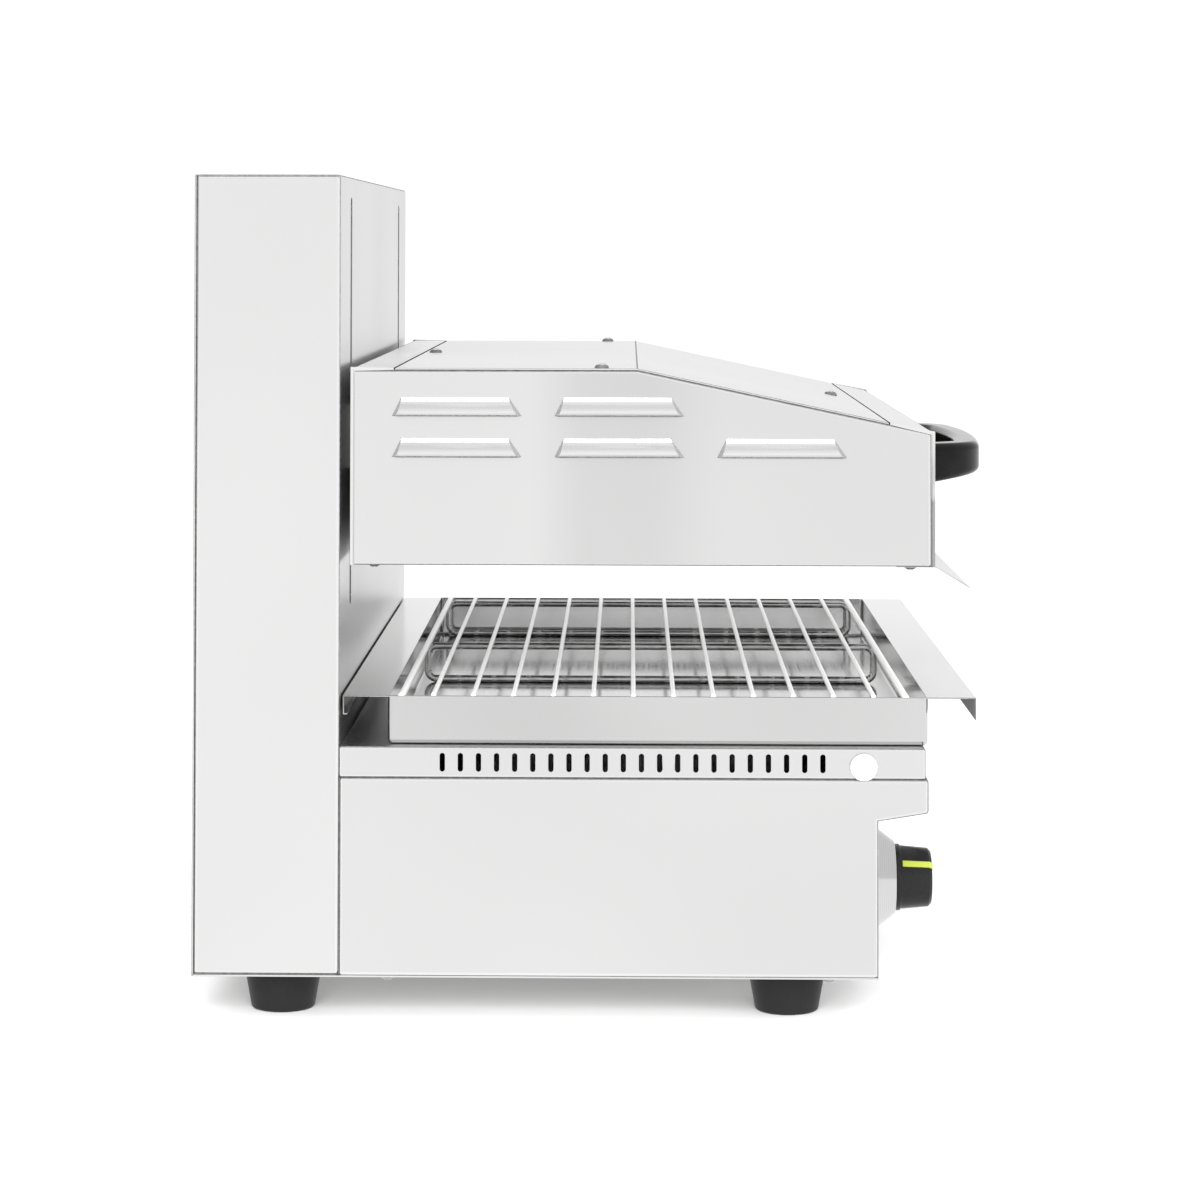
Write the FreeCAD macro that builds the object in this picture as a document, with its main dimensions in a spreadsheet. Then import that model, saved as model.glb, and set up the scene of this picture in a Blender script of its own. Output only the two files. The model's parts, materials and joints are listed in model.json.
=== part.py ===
# Lift salamander grill: a counter-top grill whose heated hood slides up and down a rear column.
# Millimetres, +Z up. The front faces -Y and +X is to the right of someone who
# stands in front of it. The origin lies on the table, under the middle of the whole grill's box.
# Depths are measured forward from the column's back, and forward() turns them into Y.

import FreeCAD, Part
import Sketcher

import math
import operator
import os

Vector = FreeCAD.Vector
Rotation = FreeCAD.Rotation

sizes = {
    # the whole grill
    "body_width": 600,
    "gauge": 1.2,  # stainless sheet of every casing
    "thin_gauge": 0.8,  # sheet of the pan and the reflector
    "flange": 14,  # folded edges of the casings
    "screw_flange": 20,  # folded edges that take screws from below
    "slip_gap": 0.3,  # between faces that move past each other
    "running_clearance": 0.05,  # round a shaft in its bore, on the radius
    "hole_clearance": 0.3,  # round a screw or a stem in a panel, on the radius
    # feet
    "foot_height": 28,
    "foot_top_radius": 24.8,
    "foot_bottom_radius": 20,
    "foot_inset": 45,  # from the side of the body to the foot's middle
    "rear_foot_depth": 52.5,
    "front_foot_inset": 54.7,  # from the control panel back to the front feet
    "foot_recess_radius": 7,
    "foot_recess_depth": 15,
    "foot_head_gap": 1,  # between the screw's head and the recess, on the radius
    "foot_screw_radius": 2.5,
    "foot_screw_length": 22,
    # column
    "column_height": 496,  # from the feet up
    "column_depth": 91,
    "slot_inset": 80,  # from the side of the body to the slot's middle
    "slot_width": 12,
    "slot_tail": 42.5,  # below the hood's arm at its lowest
    "slot_end": 13,  # from the column's top to the slot
    # base
    "base_depth": 333.6,  # from the column to the control panel
    "base_height": 123,  # from the feet to the top of the base box
    "lip_reach": 31,
    "lip_height": 21,
    "lip_drop": 5,  # fall of the lip's underside towards the panel
    # deck, the slotted band on which the pan slides
    "deck_height": 19,
    "deck_setback": 1.9,
    "vent_count": 22,
    "vent_pitch": 11.2,
    "vent_first": 64,  # from the column to the first vent
    "vent_width": 3.3,
    "vent_height": 11.5,
    "plug_inset": 38.3,  # from the deck's front to the plug's middle
    "plug_radius": 8.75,
    "plug_head": 2,
    "plug_stem_radius": 4,
    "plug_stem_length": 7,
    # controls
    "knob_inset": 114,  # from the side of the body to the knob's middle
    "knob_rise": 42,  # from the feet to the knob's middle
    "knob_radius": 20.4,
    "knob_tip_radius": 18.8,
    "knob_skirt_radius": 21.3,
    "knob_skirt_length": 3,
    "knob_length": 23.2,
    "knob_edge": 2,
    "pointer_width": 4,
    "pointer_height": 0.3,
    "pointer_start": 1,  # from the skirt
    "pointer_angle": 55,  # from straight up towards the left, at off
    "bezel_radius": 36,
    "bezel_tip_radius": 23.2,
    "bezel_rim": 1.5,
    "bezel_depth": 18.4,
    "spindle_radius": 3,
    "spindle_grip": 16,  # inside the knob
    "spindle_tail": 14,  # inside the regulator
    "regulator_width": 44,
    "regulator_depth": 32,
    "regulator_boss": 3,
    "lamp_gap": 74,  # from the knob's middle to the lamp's
    "lamp_radius": 5.5,
    "lamp_flange": 2,
    "lamp_lens": 5,
    "lamp_tail": 24,
    # hood
    "hood_gap": 7,  # between the column and the hood
    "hood_depth": 361,
    "mouth_height": 112,  # from the deck to the hood's bottom
    "hood_height": 122,
    "hood_front_height": 83,
    "hood_flat": 177.5,  # level part of the top, from the hood's back
    "rear_strip": 27,
    "front_strip": 28,
    "seam_gap": 0.8,  # between the cover and the panels beside it
    "louvre_first": 25.2,  # from the hood's back to the first louvre
    "louvre_pitch": 100.8,
    "louvre_length": 80.4,
    "louvre_height": 11.5,
    "louvre_bulge": 5.5,
    "louvre_rear_slant": 5.7,  # how far its upper corners stand in from its lower ones
    "louvre_front_slant": 8,
    "louvre_end_slope": 2.4,  # how far its ends lean in from the panel to its lip
    "louvre_low_row": 67,  # lower edge above the hood's bottom
    "louvre_row_pitch": 25.4,
    # handle
    "handle_length": 280,
    "handle_reach": 54,
    "handle_rise": 66.5,  # from the hood's bottom to the handle's top
    "handle_height": 28,
    "handle_tip_height": 20,
    "handle_leg": 21,
    "handle_lean": 7,  # of the legs' inner sides towards the middle
    "handle_bar": 17,
    "handle_bow": 5,
    "handle_corner": 45,
    "handle_outer_radius": 50,
    "handle_inner_radius": 36,
    "handle_round": 5,
    # deflector under the hood's front edge
    "deflector_flange": 23,
    "deflector_reach": 21.5,
    "deflector_drop": 13,
    "deflector_inset": 4,
    # reflector and heaters
    "reflector_border": 24,  # from the hood's wall to the mouth
    "reflector_slope": 18,
    "reflector_height": 42,
    "tube_radius": 4.2,
    "tube_level": 16,  # middle of the heater tubes above the hood's bottom
    "tube_pitch": 46,
    "tube_runs": 6,
    "tube_centre_gap": 12,  # from the middle of the grill to the first bend
    "tube_outer_gap": 44,  # from the hood's side to the outer bends
    "tube_end_gap": 13,  # from the hood's side to the tube's cold end
    "bush_radius": 7,
    "bush_length": 9,
    "pin_radius": 1.8,
    "pin_length": 7,
    "bar_width": 12,
    "bar_gauge": 2,
    "bar_end_gap": 3,  # from the reflector's top edge to the bar's legs
    "bar_first": 70,  # from the middle of the grill to the first support bar
    "bar_pitch": 120,
    # lift
    "rod_radius": 6,
    "rod_depth": 50,
    "rod_clamp_width": 36,
    "rod_clamp_height": 20,
    "buffer_radius": 12,
    "block_width": 36,
    "block_height": 69,
    "block_rise": 94,  # from the hood's bottom to the blocks' tops
    "block_bush_wall": 3,
    "block_bush_length": 25,
    "collar_height": 10,
    "buffer_height": 15,
    "high_buffer_height": 6.5,
    "lift_down": 45,
    "arm_gauge": 6,
    "arm_rise": 55,  # from the hood's bottom to the arm's lower edge
    "arm_height": 40,
    "arm_foot_width": 32,
    "arm_foot_gauge": 3,
    "bolt_radius": 3,
    "bolt_head_radius": 5,
    "bolt_head": 2,
    "bolt_length": 12,
    "nut_radius": 5.5,
    "nut_height": 4,
    "bolt_inset": 10,  # from the arm's ends to its bolts
    "beam_gauge": 3,
    "beam_height": 34,
    "beam_overhang": 18,  # past the middle of each rod
    "anchor_width": 12,
    "anchor_gap": 4,  # from the cable anchors to the pulleys, hood raised
    "pulley_spread": 80,
    "pulley_depth": 42,
    "pulley_drop": 39,  # from the column's top to the axles
    "pulley_radius": 20,  # at the foot of the groove
    "pulley_flange": 4,
    "pulley_width": 11,
    "axle_radius": 4,
    "cheek_gauge": 3,
    "cheek_gap": 1,
    "cheek_width": 24,
    "cable_radius": 1.5,
    "weight_end_gap": 35,  # from each rod's middle to the counterweight's end
    "weight_depth": 26,
    "weight_height": 120,
    "weight_gap": 29,  # under the pulleys, hood lowered
    "weight_chamfer": 2,
    "shoe_reach": 10,
    "shoe_width": 20,
    "shoe_height": 30,
    "guide_gauge": 2,
    "guide_lip_gap": 1,  # from the counterweight's end to the channels' lips
    # pan and rack
    "pan_side_gap": 10,  # from the side of the body to the pan's side
    "pan_depth": 335.5,
    "pan_gap": 29.5,  # from the column to the pan's rear wall
    "pan_height": 30,
    "pan_corner": 3,
    "front_rim": 29.9,
    "front_lip": 14,
    "rear_rim": 28.2,
    "rear_lip": 12,
    "rim_hem": 3,
    "wire_radius": 1.5,
    "end_bar_radius": 2.2,
    "loop_wire_radius": 2.5,
    "wire_count": 12,
    "end_bar_pitch": 20,  # from the last wire to the end bar
    "end_bar_setback": 0.5,  # from the loops' ends to the end bar's middle
    "rack_side_gap": 4,  # from the pan's side to the wires' ends
    "rack_rear_gap": 7.6,  # from the pan's rear wall to the loops
    "rack_front_gap": 12.9,
    "loop_inset": 5,
    "loop_height": 23,
    "loop_corner": 6,
    "weld": 0.6,  # how far a cross wire sinks into a loop
    # screws and fittings
    "screw_radius": 2,
    "screw_head_radius": 4.4,
    "screw_head": 3.2,
    "screw_length": 8,
    "recess_length": 4.6,  # cross recess in the head
    "recess_width": 1,
    "recess_depth": 1.8,
    "rear_screw_rows": 4,
    "casing_screw_inset": 8,  # from the casing's side
    "rear_flange": 34,  # folded edges behind the rear cover
    "rear_screw_inset": 26,  # from the column's side
    "rear_screw_end": 20,  # from the column's top and floor to the end rows
    "floor_screw_inset": 30,  # from the column and the control panel
    "under_screw_inset": 13,  # from the hood's back and front
    "under_screw_side": 22,  # from the hood's sides
    "side_screw_inset": 9,
    "side_screw_depth": 155.2,  # from the hood's back
    "cover_screw_rear": 8,  # from the rear seam
    "cover_screw_front": 18,  # from the front seam
    "gland_inset": 85,  # from the side of the body to the gland's middle
    "gland_rise": 31,  # from the feet to the gland's middle
    "gland_radius": 11,
    "gland_reach": 16,
    "gland_neck_radius": 8,
    "gland_bore": 5,
    "terminal_length": 64,
    "terminal_depth": 22,
    "terminal_height": 20,
    "terminal_ways": 6,
    "terminal_well_radius": 2.5,
}

document = FreeCAD.newDocument("LiftSalamanderGrill")
sheet = document.addObject("Spreadsheet::Sheet", "Sizes")
for row, (name, number) in enumerate(sizes.items(), start=1):
    sheet.set(f"A{row}", name)
    sheet.set(f"B{row}", str(number))
    sheet.setAlias(f"B{row}", name)
document.recompute()

signs = {"+": operator.add, "-": operator.sub, "*": operator.mul, "/": operator.truediv}


class Size:
    """A size as an expression of the sheet's cells, with its number."""

    def __init__(self, text, number):
        self.text = text
        self.number = number

    def joined(self, sign, other, other_first=False):
        first, second = (sized(other), self) if other_first else (self, sized(other))
        number = signs[sign](first.number, second.number)
        return Size(f"({first.text} {sign} {second.text})", number)

    def __add__(self, other):
        return self.joined("+", other)

    def __radd__(self, other):
        return self.joined("+", other, True)

    def __sub__(self, other):
        return self.joined("-", other)

    def __rsub__(self, other):
        return self.joined("-", other, True)

    def __mul__(self, other):
        return self.joined("*", other)

    def __rmul__(self, other):
        return self.joined("*", other, True)

    def __truediv__(self, other):
        return self.joined("/", other)

    def __rtruediv__(self, other):
        return self.joined("/", other, True)

    def __neg__(self):
        return 0 - self


def sized(value):
    return value if isinstance(value, Size) else Size(f"{value:g}", float(value))


def root(value):
    return Size(f"sqrt({value.text})", math.sqrt(value.number))


class Cells:
    """The sheet's cells by name."""


s = Cells()
for name, number in sizes.items():
    setattr(s, name, Size(f"Sizes.{name}", float(number)))

# levels above the table and depths from the column's back that several pieces share
half_width = s.body_width / 2
column_top = s.foot_height + s.column_height
column_ceiling = column_top - s.gauge
base_seam = s.foot_height + s.base_height
base_front = s.column_depth + s.base_depth
lip_front = base_front + s.lip_reach
deck_top = base_seam + s.deck_height
deck_front = lip_front - s.deck_setback
hood_back = s.column_depth + s.hood_gap
hood_front = hood_back + s.hood_depth
hood_bend = hood_back + s.hood_flat
hood_bottom = deck_top + s.mouth_height
hood_top = hood_bottom + s.hood_height
hood_front_top = hood_bottom + s.hood_front_height
handle_level = hood_bottom + s.handle_rise
handle_front = hood_front + s.handle_reach
back = (handle_front - s.gland_reach) / 2
knob_face = base_front + s.bezel_depth + s.slip_gap
knob_spread = half_width - s.knob_inset
knob_level = s.foot_height + s.knob_rise
lamp_spread = knob_spread - s.lamp_gap
slot_spread = half_width - s.slot_inset
gland_spread = half_width - s.gland_inset
gland_level = s.foot_height + s.gland_rise
pulley_level = column_top - s.pulley_drop
pulley_rim = s.pulley_radius + s.pulley_flange

# the hood's travel ends where its carriage meets the buffers
block_top = hood_bottom + s.block_rise
block_bottom = block_top - s.block_height
arm_bottom = hood_bottom + s.arm_rise
arm_top = arm_bottom + s.arm_height
high_clamp = column_ceiling - s.rod_clamp_height
high_stop = high_clamp - s.high_buffer_height
lift_up = high_stop - s.slip_gap - block_top
weight_top = pulley_level - pulley_rim - s.lift_down - s.weight_gap


def forward(depth):
    return back - depth


def bind(thing, path, value):
    thing.setExpression(path, sized(value).text)


nodes = []


def node(thing, label):
    thing.Label = label
    nodes.append(thing)
    return thing


def place(thing, x=0, depth=None, z=0, turn=None):
    """Puts a piece's own origin at x, depth and height, turned by turn."""
    if turn is not None:
        thing.Placement = FreeCAD.Placement(Vector(), turn)
    bind(thing, ".Placement.Base.x", x)
    bind(thing, ".Placement.Base.y", forward(depth) if depth is not None else 0)
    bind(thing, ".Placement.Base.z", z)
    return thing


# Primitives between named faces


def block(name, x, depth, z):
    """A box from x[0] to x[1], depth[0] to depth[1] and z[0] to z[1]."""
    thing = document.addObject("Part::Box", name)
    bind(thing, "Length", sized(x[1]) - x[0])
    bind(thing, "Width", sized(depth[1]) - depth[0])
    bind(thing, "Height", sized(z[1]) - z[0])
    return place(thing, x[0], depth[1], z[0])


def rod(name, radius, length, x=0, depth=None, z=0, turn=None):
    """A cylinder that starts at the given point and runs up, or along the turned Z axis."""
    thing = document.addObject("Part::Cylinder", name)
    bind(thing, "Radius", radius)
    bind(thing, "Height", length)
    return place(thing, x, depth, z, turn)


def cut(name, base, tool):
    thing = document.addObject("Part::Cut", name)
    thing.Base = base
    thing.Tool = tool
    return thing


def fuse(name, pieces):
    thing = document.addObject("Part::MultiFuse", name)
    thing.Shapes = pieces
    thing.Refine = True
    return thing


def group(label, pieces):
    thing = document.addObject("Part::Compound", label)
    thing.Links = pieces
    return node(thing, label)


def mirrored(source, label):
    """The piece's mirror image on the other side of the middle plane."""
    thing = document.addObject("Part::Mirroring", label)
    thing.Source = source
    thing.Normal = Vector(1, 0, 0)
    return node(thing, label)


to_front = Rotation(Vector(1, 0, 0), 90)  # turns a piece's Z axis to the front
to_back = Rotation(Vector(1, 0, 0), -90)
to_right = Rotation(Vector(0, 1, 0), 90)
to_left = Rotation(Vector(0, 1, 0), -90)
upside_down = Rotation(Vector(1, 0, 0), 180)


# Sketches and features


def new_body(label):
    return document.addObject("PartDesign::Body", label)


def new_sketch(body, role, offset=0, name="Outline"):
    sketch = body.newObject("Sketcher::SketchObject", name)
    plane = [each for each in body.Origin.OriginFeatures if each.Role == role][0]
    sketch.AttachmentSupport = (plane, [""])
    sketch.MapMode = "FlatFace"
    bind(sketch, ".AttachmentOffset.Base.z", offset)
    return sketch


def fix(sketch, kind, items, value):
    place_in_list = sketch.addConstraint(Sketcher.Constraint(kind, *items, sized(value).number))
    bind(sketch, f"Constraints[{place_in_list}]", value)


def fix_point(sketch, shape, end, x, y):
    fix(sketch, "DistanceX", (-1, 1, shape, end), x)
    fix(sketch, "DistanceY", (-1, 1, shape, end), y)


def arc_between(start, end, radius, turn):
    """The short arc from start to end, turn 1 to the left or -1 to the right."""
    chord = end - start
    middle = (start + end) / 2
    rise = math.sqrt(radius**2 - (chord.Length / 2) ** 2)
    side = Vector(-chord.y, chord.x, 0).normalize() * (rise * turn)
    centre = middle + side
    first, last = (start, end) if turn > 0 else (end, start)
    angles = [math.atan2((p - centre).y, (p - centre).x) for p in (first, last)]
    return Part.ArcOfCircle(Part.Circle(centre, Vector(0, 0, 1), radius), angles[0], angles[1])


def outline(sketch, corners, arcs=None, closed=True, smooth=False):
    """A line through the corners. arcs gives {first corner: (radius, turn)}.

    A smooth line's arcs start tangent to what leads to them, which sets their radius.
    """
    arcs = arcs or {}
    points = [Vector(sized(x).number, sized(y).number, 0) for x, y in corners]
    ends = []
    for first, start in enumerate(points if closed else points[:-1]):
        end = points[(first + 1) % len(points)]
        if first in arcs:
            radius, turn = arcs[first]
            shape = sketch.addGeometry(arc_between(start, end, sized(radius).number, turn), False)
            ends.append((shape, 1, 2) if turn > 0 else (shape, 2, 1))
        else:
            shape = sketch.addGeometry(Part.LineSegment(start, end), False)
            ends.append((shape, 1, 2))
    for first, (shape, start, end) in enumerate(ends if closed else ends[:-1]):
        following = ends[(first + 1) % len(ends)]
        kind = "Tangent" if smooth and first + 1 in arcs else "Coincident"
        joint = Sketcher.Constraint(kind, shape, end, following[0], following[1])
        sketch.addConstraint(joint)
    for (shape, start, end), (x, y) in zip(ends, corners):
        fix_point(sketch, shape, start, x, y)
    if not closed:
        shape, start, end = ends[-1]
        fix_point(sketch, shape, end, *corners[-1])
    if not smooth:
        for first, (radius, turn) in arcs.items():
            fix(sketch, "Radius", (ends[first][0],), radius)
    return sketch


def rectangle(sketch, x, y):
    return outline(sketch, [(x[0], y[0]), (x[1], y[0]), (x[1], y[1]), (x[0], y[1])])


def circle(sketch, x, y, radius):
    centre = Vector(sized(x).number, sized(y).number, 0)
    ring = Part.Circle(centre, Vector(0, 0, 1), sized(radius).number)
    shape = sketch.addGeometry(ring, False)
    fix_point(sketch, shape, 3, x, y)
    fix(sketch, "Radius", (shape,), radius)
    return sketch


def obround(sketch, x, y, width, height):
    """An upright slot with round ends, its middle at x, y."""
    middle = Vector(sized(x).number, sized(y).number, 0)
    r = sized(width).number / 2
    rise = sized(height).number / 2 - r
    up = Vector(0, rise, 0)
    out = Vector(r, 0, 0)
    normal = Vector(0, 0, 1)
    top = sketch.addGeometry(
        Part.ArcOfCircle(Part.Circle(middle + up, normal, r), 0, math.pi), False
    )
    left = sketch.addGeometry(Part.LineSegment(middle + up - out, middle - up - out), False)
    low = sketch.addGeometry(
        Part.ArcOfCircle(Part.Circle(middle - up, normal, r), math.pi, 2 * math.pi), False
    )
    right = sketch.addGeometry(Part.LineSegment(middle - up + out, middle + up + out), False)
    for first, second in ((top, left), (left, low), (low, right), (right, top)):
        sketch.addConstraint(Sketcher.Constraint("Tangent", first, 2, second, 1))
    sketch.addConstraint(Sketcher.Constraint("Vertical", left))
    sketch.addConstraint(Sketcher.Constraint("Vertical", right))
    fix(sketch, "Radius", (top,), width / 2)
    fix_point(sketch, top, 3, x, y + (height - width) / 2)
    fix(sketch, "DistanceY", (-1, 1, low, 3), y - (height - width) / 2)
    return sketch


def feature(body, kind, sketch, **settings):
    made = body.newObject(f"PartDesign::{kind}", kind)
    made.Profile = sketch
    for name, value in settings.items():
        if isinstance(value, Size):
            bind(made, name, value)
        else:
            setattr(made, name, value)
    body.Tip = made
    return made


def pad(body, sketch, length, **settings):
    return feature(body, "Pad", sketch, Length=sized(length), **settings)


def pocket(body, sketch, length, **settings):
    return feature(body, "Pocket", sketch, Length=sized(length), **settings)


def fillet(body, name, radius, chosen):
    """Rounds the chosen edges of the body as it is so far."""
    document.recompute()
    base = body.Tip
    edges = [f"Edge{n}" for n, edge in enumerate(base.Shape.Edges, start=1) if chosen(edge)]
    made = body.newObject("PartDesign::Fillet", name)
    made.Base = (base, edges)
    bind(made, "Radius", radius)
    body.Tip = made
    return made


def turned(body, corners, arcs=None, kind="Revolution"):
    """A turned piece. The corners are (radius, height) and the axis is the piece's own Z."""
    sketch = outline(new_sketch(body, "XZ_Plane"), corners, arcs)
    return feature(body, kind, sketch, ReferenceAxis=(sketch, ["V_Axis"]), Angle=360)


def side_profile(body, corners, width, kind=pad):
    """A side outline of (depth, height) corners, carried across the middle plane by width."""
    flipped = [(forward(depth), z) for depth, z in corners]
    sketch = outline(new_sketch(body, "YZ_Plane"), flipped)
    return kind(body, sketch, width, Midplane=True)


# Screws, copied from one model each


def screw(name, radius, length, head_radius, head):
    """A screw with a domed head above its own origin and the shank below."""
    body = new_body(name)
    rim = head / 4
    rise = head - rim
    dome = (head_radius * head_radius / rise + rise) / 2
    turned(
        body,
        [
            (0, -length),
            (radius, -length),
            (radius, 0),
            (head_radius, 0),
            (head_radius, rim),
            (0, head),
        ],
        {4: (dome, 1)},
    )
    return body


def cross_recess(body, top):
    """Sinks a cross into a screw's head, whose highest point is at top."""
    sketch = new_sketch(body, "XY_Plane", top, "Cross")
    end = s.recess_length / 2
    edge = s.recess_width / 2
    outline(
        sketch,
        [
            (edge, edge),
            (edge, end),
            (-edge, end),
            (-edge, edge),
            (-end, edge),
            (-end, -edge),
            (-edge, -edge),
            (-edge, -end),
            (edge, -end),
            (edge, -edge),
            (end, -edge),
            (end, edge),
        ],
    )
    return pocket(body, sketch, s.recess_depth)


def repeated(name, model, places):
    """Links to one model. Each place is (x, depth, z, turn)."""
    links = []
    for x, depth, z, turn in places:
        link = document.addObject("App::Link", name)
        link.LinkedObject = model
        link.LinkPlacement = FreeCAD.Placement(Vector(), turn or Rotation())
        bind(link, ".LinkPlacement.Base.x", x)
        bind(link, ".LinkPlacement.Base.y", forward(depth))
        bind(link, ".LinkPlacement.Base.z", z)
        links.append(link)
    return links


def copies(label, model, places):
    return group(label, repeated(label + "_copy", model, places))


def drill(name, radius, reach):
    """A round cutter that runs through its own origin, reach each way."""
    body = new_body(name)
    turned(body, [(0, -reach), (radius, -reach), (radius, reach), (0, reach)])
    return body


def drilled(name, base, cutter, places):
    tool = document.addObject("Part::Compound", name + "_holes")
    tool.Links = repeated(name + "_hole", cutter, places)
    return cut(name, base, tool)


screw_model = screw(
    "Screw_model", s.screw_radius, s.screw_length, s.screw_head_radius, s.screw_head
)
cross_recess(screw_model, s.screw_head)
screw_drill = drill("Screw_drill", s.screw_radius + s.hole_clearance, s.screw_length)


# Feet


def foot(name):
    """A tapered rubber foot, hollowed from below for its screw."""
    body = new_body(name)
    turned(
        body,
        [
            (s.foot_screw_radius, s.foot_recess_depth),
            (s.foot_recess_radius, s.foot_recess_depth),
            (s.foot_recess_radius, 0),
            (s.foot_bottom_radius - s.gauge, 0),
            (s.foot_bottom_radius, s.gauge),
            (s.foot_top_radius, s.foot_height),
            (s.foot_screw_radius, s.foot_height),
        ],
    )
    return body


foot_side = half_width - s.foot_inset
foot_places = []
for side, x in (("left", -foot_side), ("right", foot_side)):
    for end, depth in (("rear", s.rear_foot_depth), ("front", base_front - s.front_foot_inset)):
        node(place(foot(f"foot_{end}_{side}"), x, depth), f"foot_{end}_{side}")
        foot_places.append((x, depth, s.foot_recess_depth, upside_down))
foot_screw = screw(
    "Foot_screw",
    s.foot_screw_radius,
    s.foot_screw_length,
    s.foot_recess_radius - s.foot_head_gap,
    s.foot_screw_radius,
)
copies("foot_screws", foot_screw, foot_places)

# Base: floor, box, control panel and deck

floor_top = s.foot_height + s.gauge
inner_half = half_width - s.gauge

floor_plate = block(
    "Floor_plate",
    (-half_width, half_width),
    (s.gauge, base_front),
    (s.foot_height, floor_top),
)
screw_holes = [
    rod(
        "Foot_hole",
        s.foot_screw_radius,
        2 * s.gauge,
        x,
        depth,
        s.foot_height - s.gauge / 2,
    )
    for x, depth, level, turn in foot_places
]
floor_plate = cut("Floor_on_feet", floor_plate, fuse("Foot_holes", screw_holes))
casing_screw_x = half_width - s.casing_screw_inset
floor_screws = [
    (side * casing_screw_x, depth, s.foot_height, upside_down)
    for side in (-1, 1)
    for depth in (s.column_depth + s.floor_screw_inset, base_front - s.floor_screw_inset)
]
node(drilled("floor_plate", floor_plate, screw_drill, floor_screws), "floor_plate")

base_box = new_body("Base_blank")
lip_bottom = base_seam - s.lip_height
side_profile(
    base_box,
    [
        (s.column_depth, floor_top),
        (base_front, floor_top),
        (base_front, lip_bottom - s.lip_drop),
        (lip_front, lip_bottom),
        (lip_front, base_seam),
        (s.column_depth, base_seam),
    ],
    s.body_width,
)
side_profile(
    base_box,
    [
        (s.column_depth, floor_top + s.gauge),
        (base_front, floor_top + s.gauge),
        (base_front, lip_bottom - s.lip_drop + s.gauge),
        (lip_front - s.gauge, lip_bottom + s.gauge),
        (lip_front - s.gauge, base_seam - s.gauge),
        (s.column_depth, base_seam - s.gauge),
    ],
    s.body_width - 2 * s.gauge,
    pocket,
)
flange_inner = inner_half - s.flange
base_mouth = new_sketch(base_box, "XY_Plane", floor_top, "Between_flanges")
rectangle(
    base_mouth,
    (-flange_inner, flange_inner),
    (forward(base_front), forward(s.column_depth)),
)
pocket(base_box, base_mouth, s.gauge, Reversed=True)
node(drilled("base_box", base_box, screw_drill, floor_screws), "base_box")

panel = new_body("control_panel")
panel_half = inner_half - s.slip_gap
panel_low = floor_top + s.gauge + s.slip_gap
panel_high = lip_bottom - s.lip_drop - s.slip_gap
panel_face = new_sketch(panel, "XZ_Plane", -forward(base_front), "Face")
rectangle(panel_face, (-panel_half, panel_half), (panel_low, panel_high))
pad(panel, panel_face, s.flange, Reversed=True)
panel_fold = new_sketch(panel, "XZ_Plane", -forward(base_front - s.gauge), "Folded_edges")
rectangle(
    panel_fold,
    (-panel_half + s.gauge, panel_half - s.gauge),
    (panel_low + s.gauge, panel_high - s.gauge),
)
pocket(panel, panel_fold, s.flange)
panel_holes = new_sketch(panel, "XZ_Plane", -forward(base_front), "Holes")
for side in (-1, 1):
    circle(panel_holes, side * knob_spread, knob_level, s.spindle_radius + s.hole_clearance)
    circle(panel_holes, side * lamp_spread, knob_level, s.lamp_radius + s.hole_clearance)
pocket(panel, panel_holes, 2 * s.gauge, Midplane=True)
node(panel, "control_panel")

deck = new_body("slotted_deck")
deck_base = new_sketch(deck, "XY_Plane", base_seam, "Deck")
rectangle(deck_base, (-half_width, half_width), (forward(deck_front), forward(s.column_depth)))
pad(deck, deck_base, s.deck_height)
deck_hollow = new_sketch(deck, "XY_Plane", base_seam, "Hollow")
rectangle(
    deck_hollow,
    (-inner_half, inner_half),
    (forward(deck_front - s.gauge), forward(s.column_depth + s.gauge)),
)
pocket(deck, deck_hollow, s.deck_height - s.gauge, Reversed=True)
deck_middle = base_seam + s.deck_height / 2
vent = new_sketch(deck, "YZ_Plane", 0, "Vent")
obround(
    vent,
    forward(s.column_depth + s.vent_first),
    deck_middle,
    s.vent_width,
    s.vent_height,
)
first_vent = pocket(deck, vent, 2 * s.body_width, Midplane=True)
document.recompute()
vents = deck.newObject("PartDesign::LinearPattern", "Vents")
vents.Originals = [first_vent]
vents.Direction = (vent, ["H_Axis"])
vents.Reversed = True
vents.Mode = "Extent"
bind(vents, "Length", s.vent_pitch * (s.vent_count - 1))
bind(vents, "Occurrences", s.vent_count)
deck.Tip = vents
plug_depth = deck_front - s.plug_inset
plug_level = base_seam + s.plug_radius - s.gauge
plug_hole = new_sketch(deck, "YZ_Plane", 0, "Plug_hole")
circle(plug_hole, forward(plug_depth), plug_level, s.plug_stem_radius + s.hole_clearance)
pocket(deck, plug_hole, 2 * s.body_width, Midplane=True)
node(deck, "slotted_deck")

plug = new_body("Plug_model")
turned(
    plug,
    [
        (0, -s.plug_stem_length),
        (s.plug_stem_radius, -s.plug_stem_length),
        (s.plug_stem_radius, 0),
        (s.plug_radius, 0),
        (s.plug_radius, s.plug_head / 3),
        (s.plug_radius - s.plug_head / 3, s.plug_head),
        (0, s.plug_head),
    ],
)
copies(
    "vent_plugs",
    plug,
    [
        (-half_width, plug_depth, plug_level, to_left),
        (half_width, plug_depth, plug_level, to_right),
    ],
)

# Controls: bezels, knobs and what is behind the panel


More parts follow.
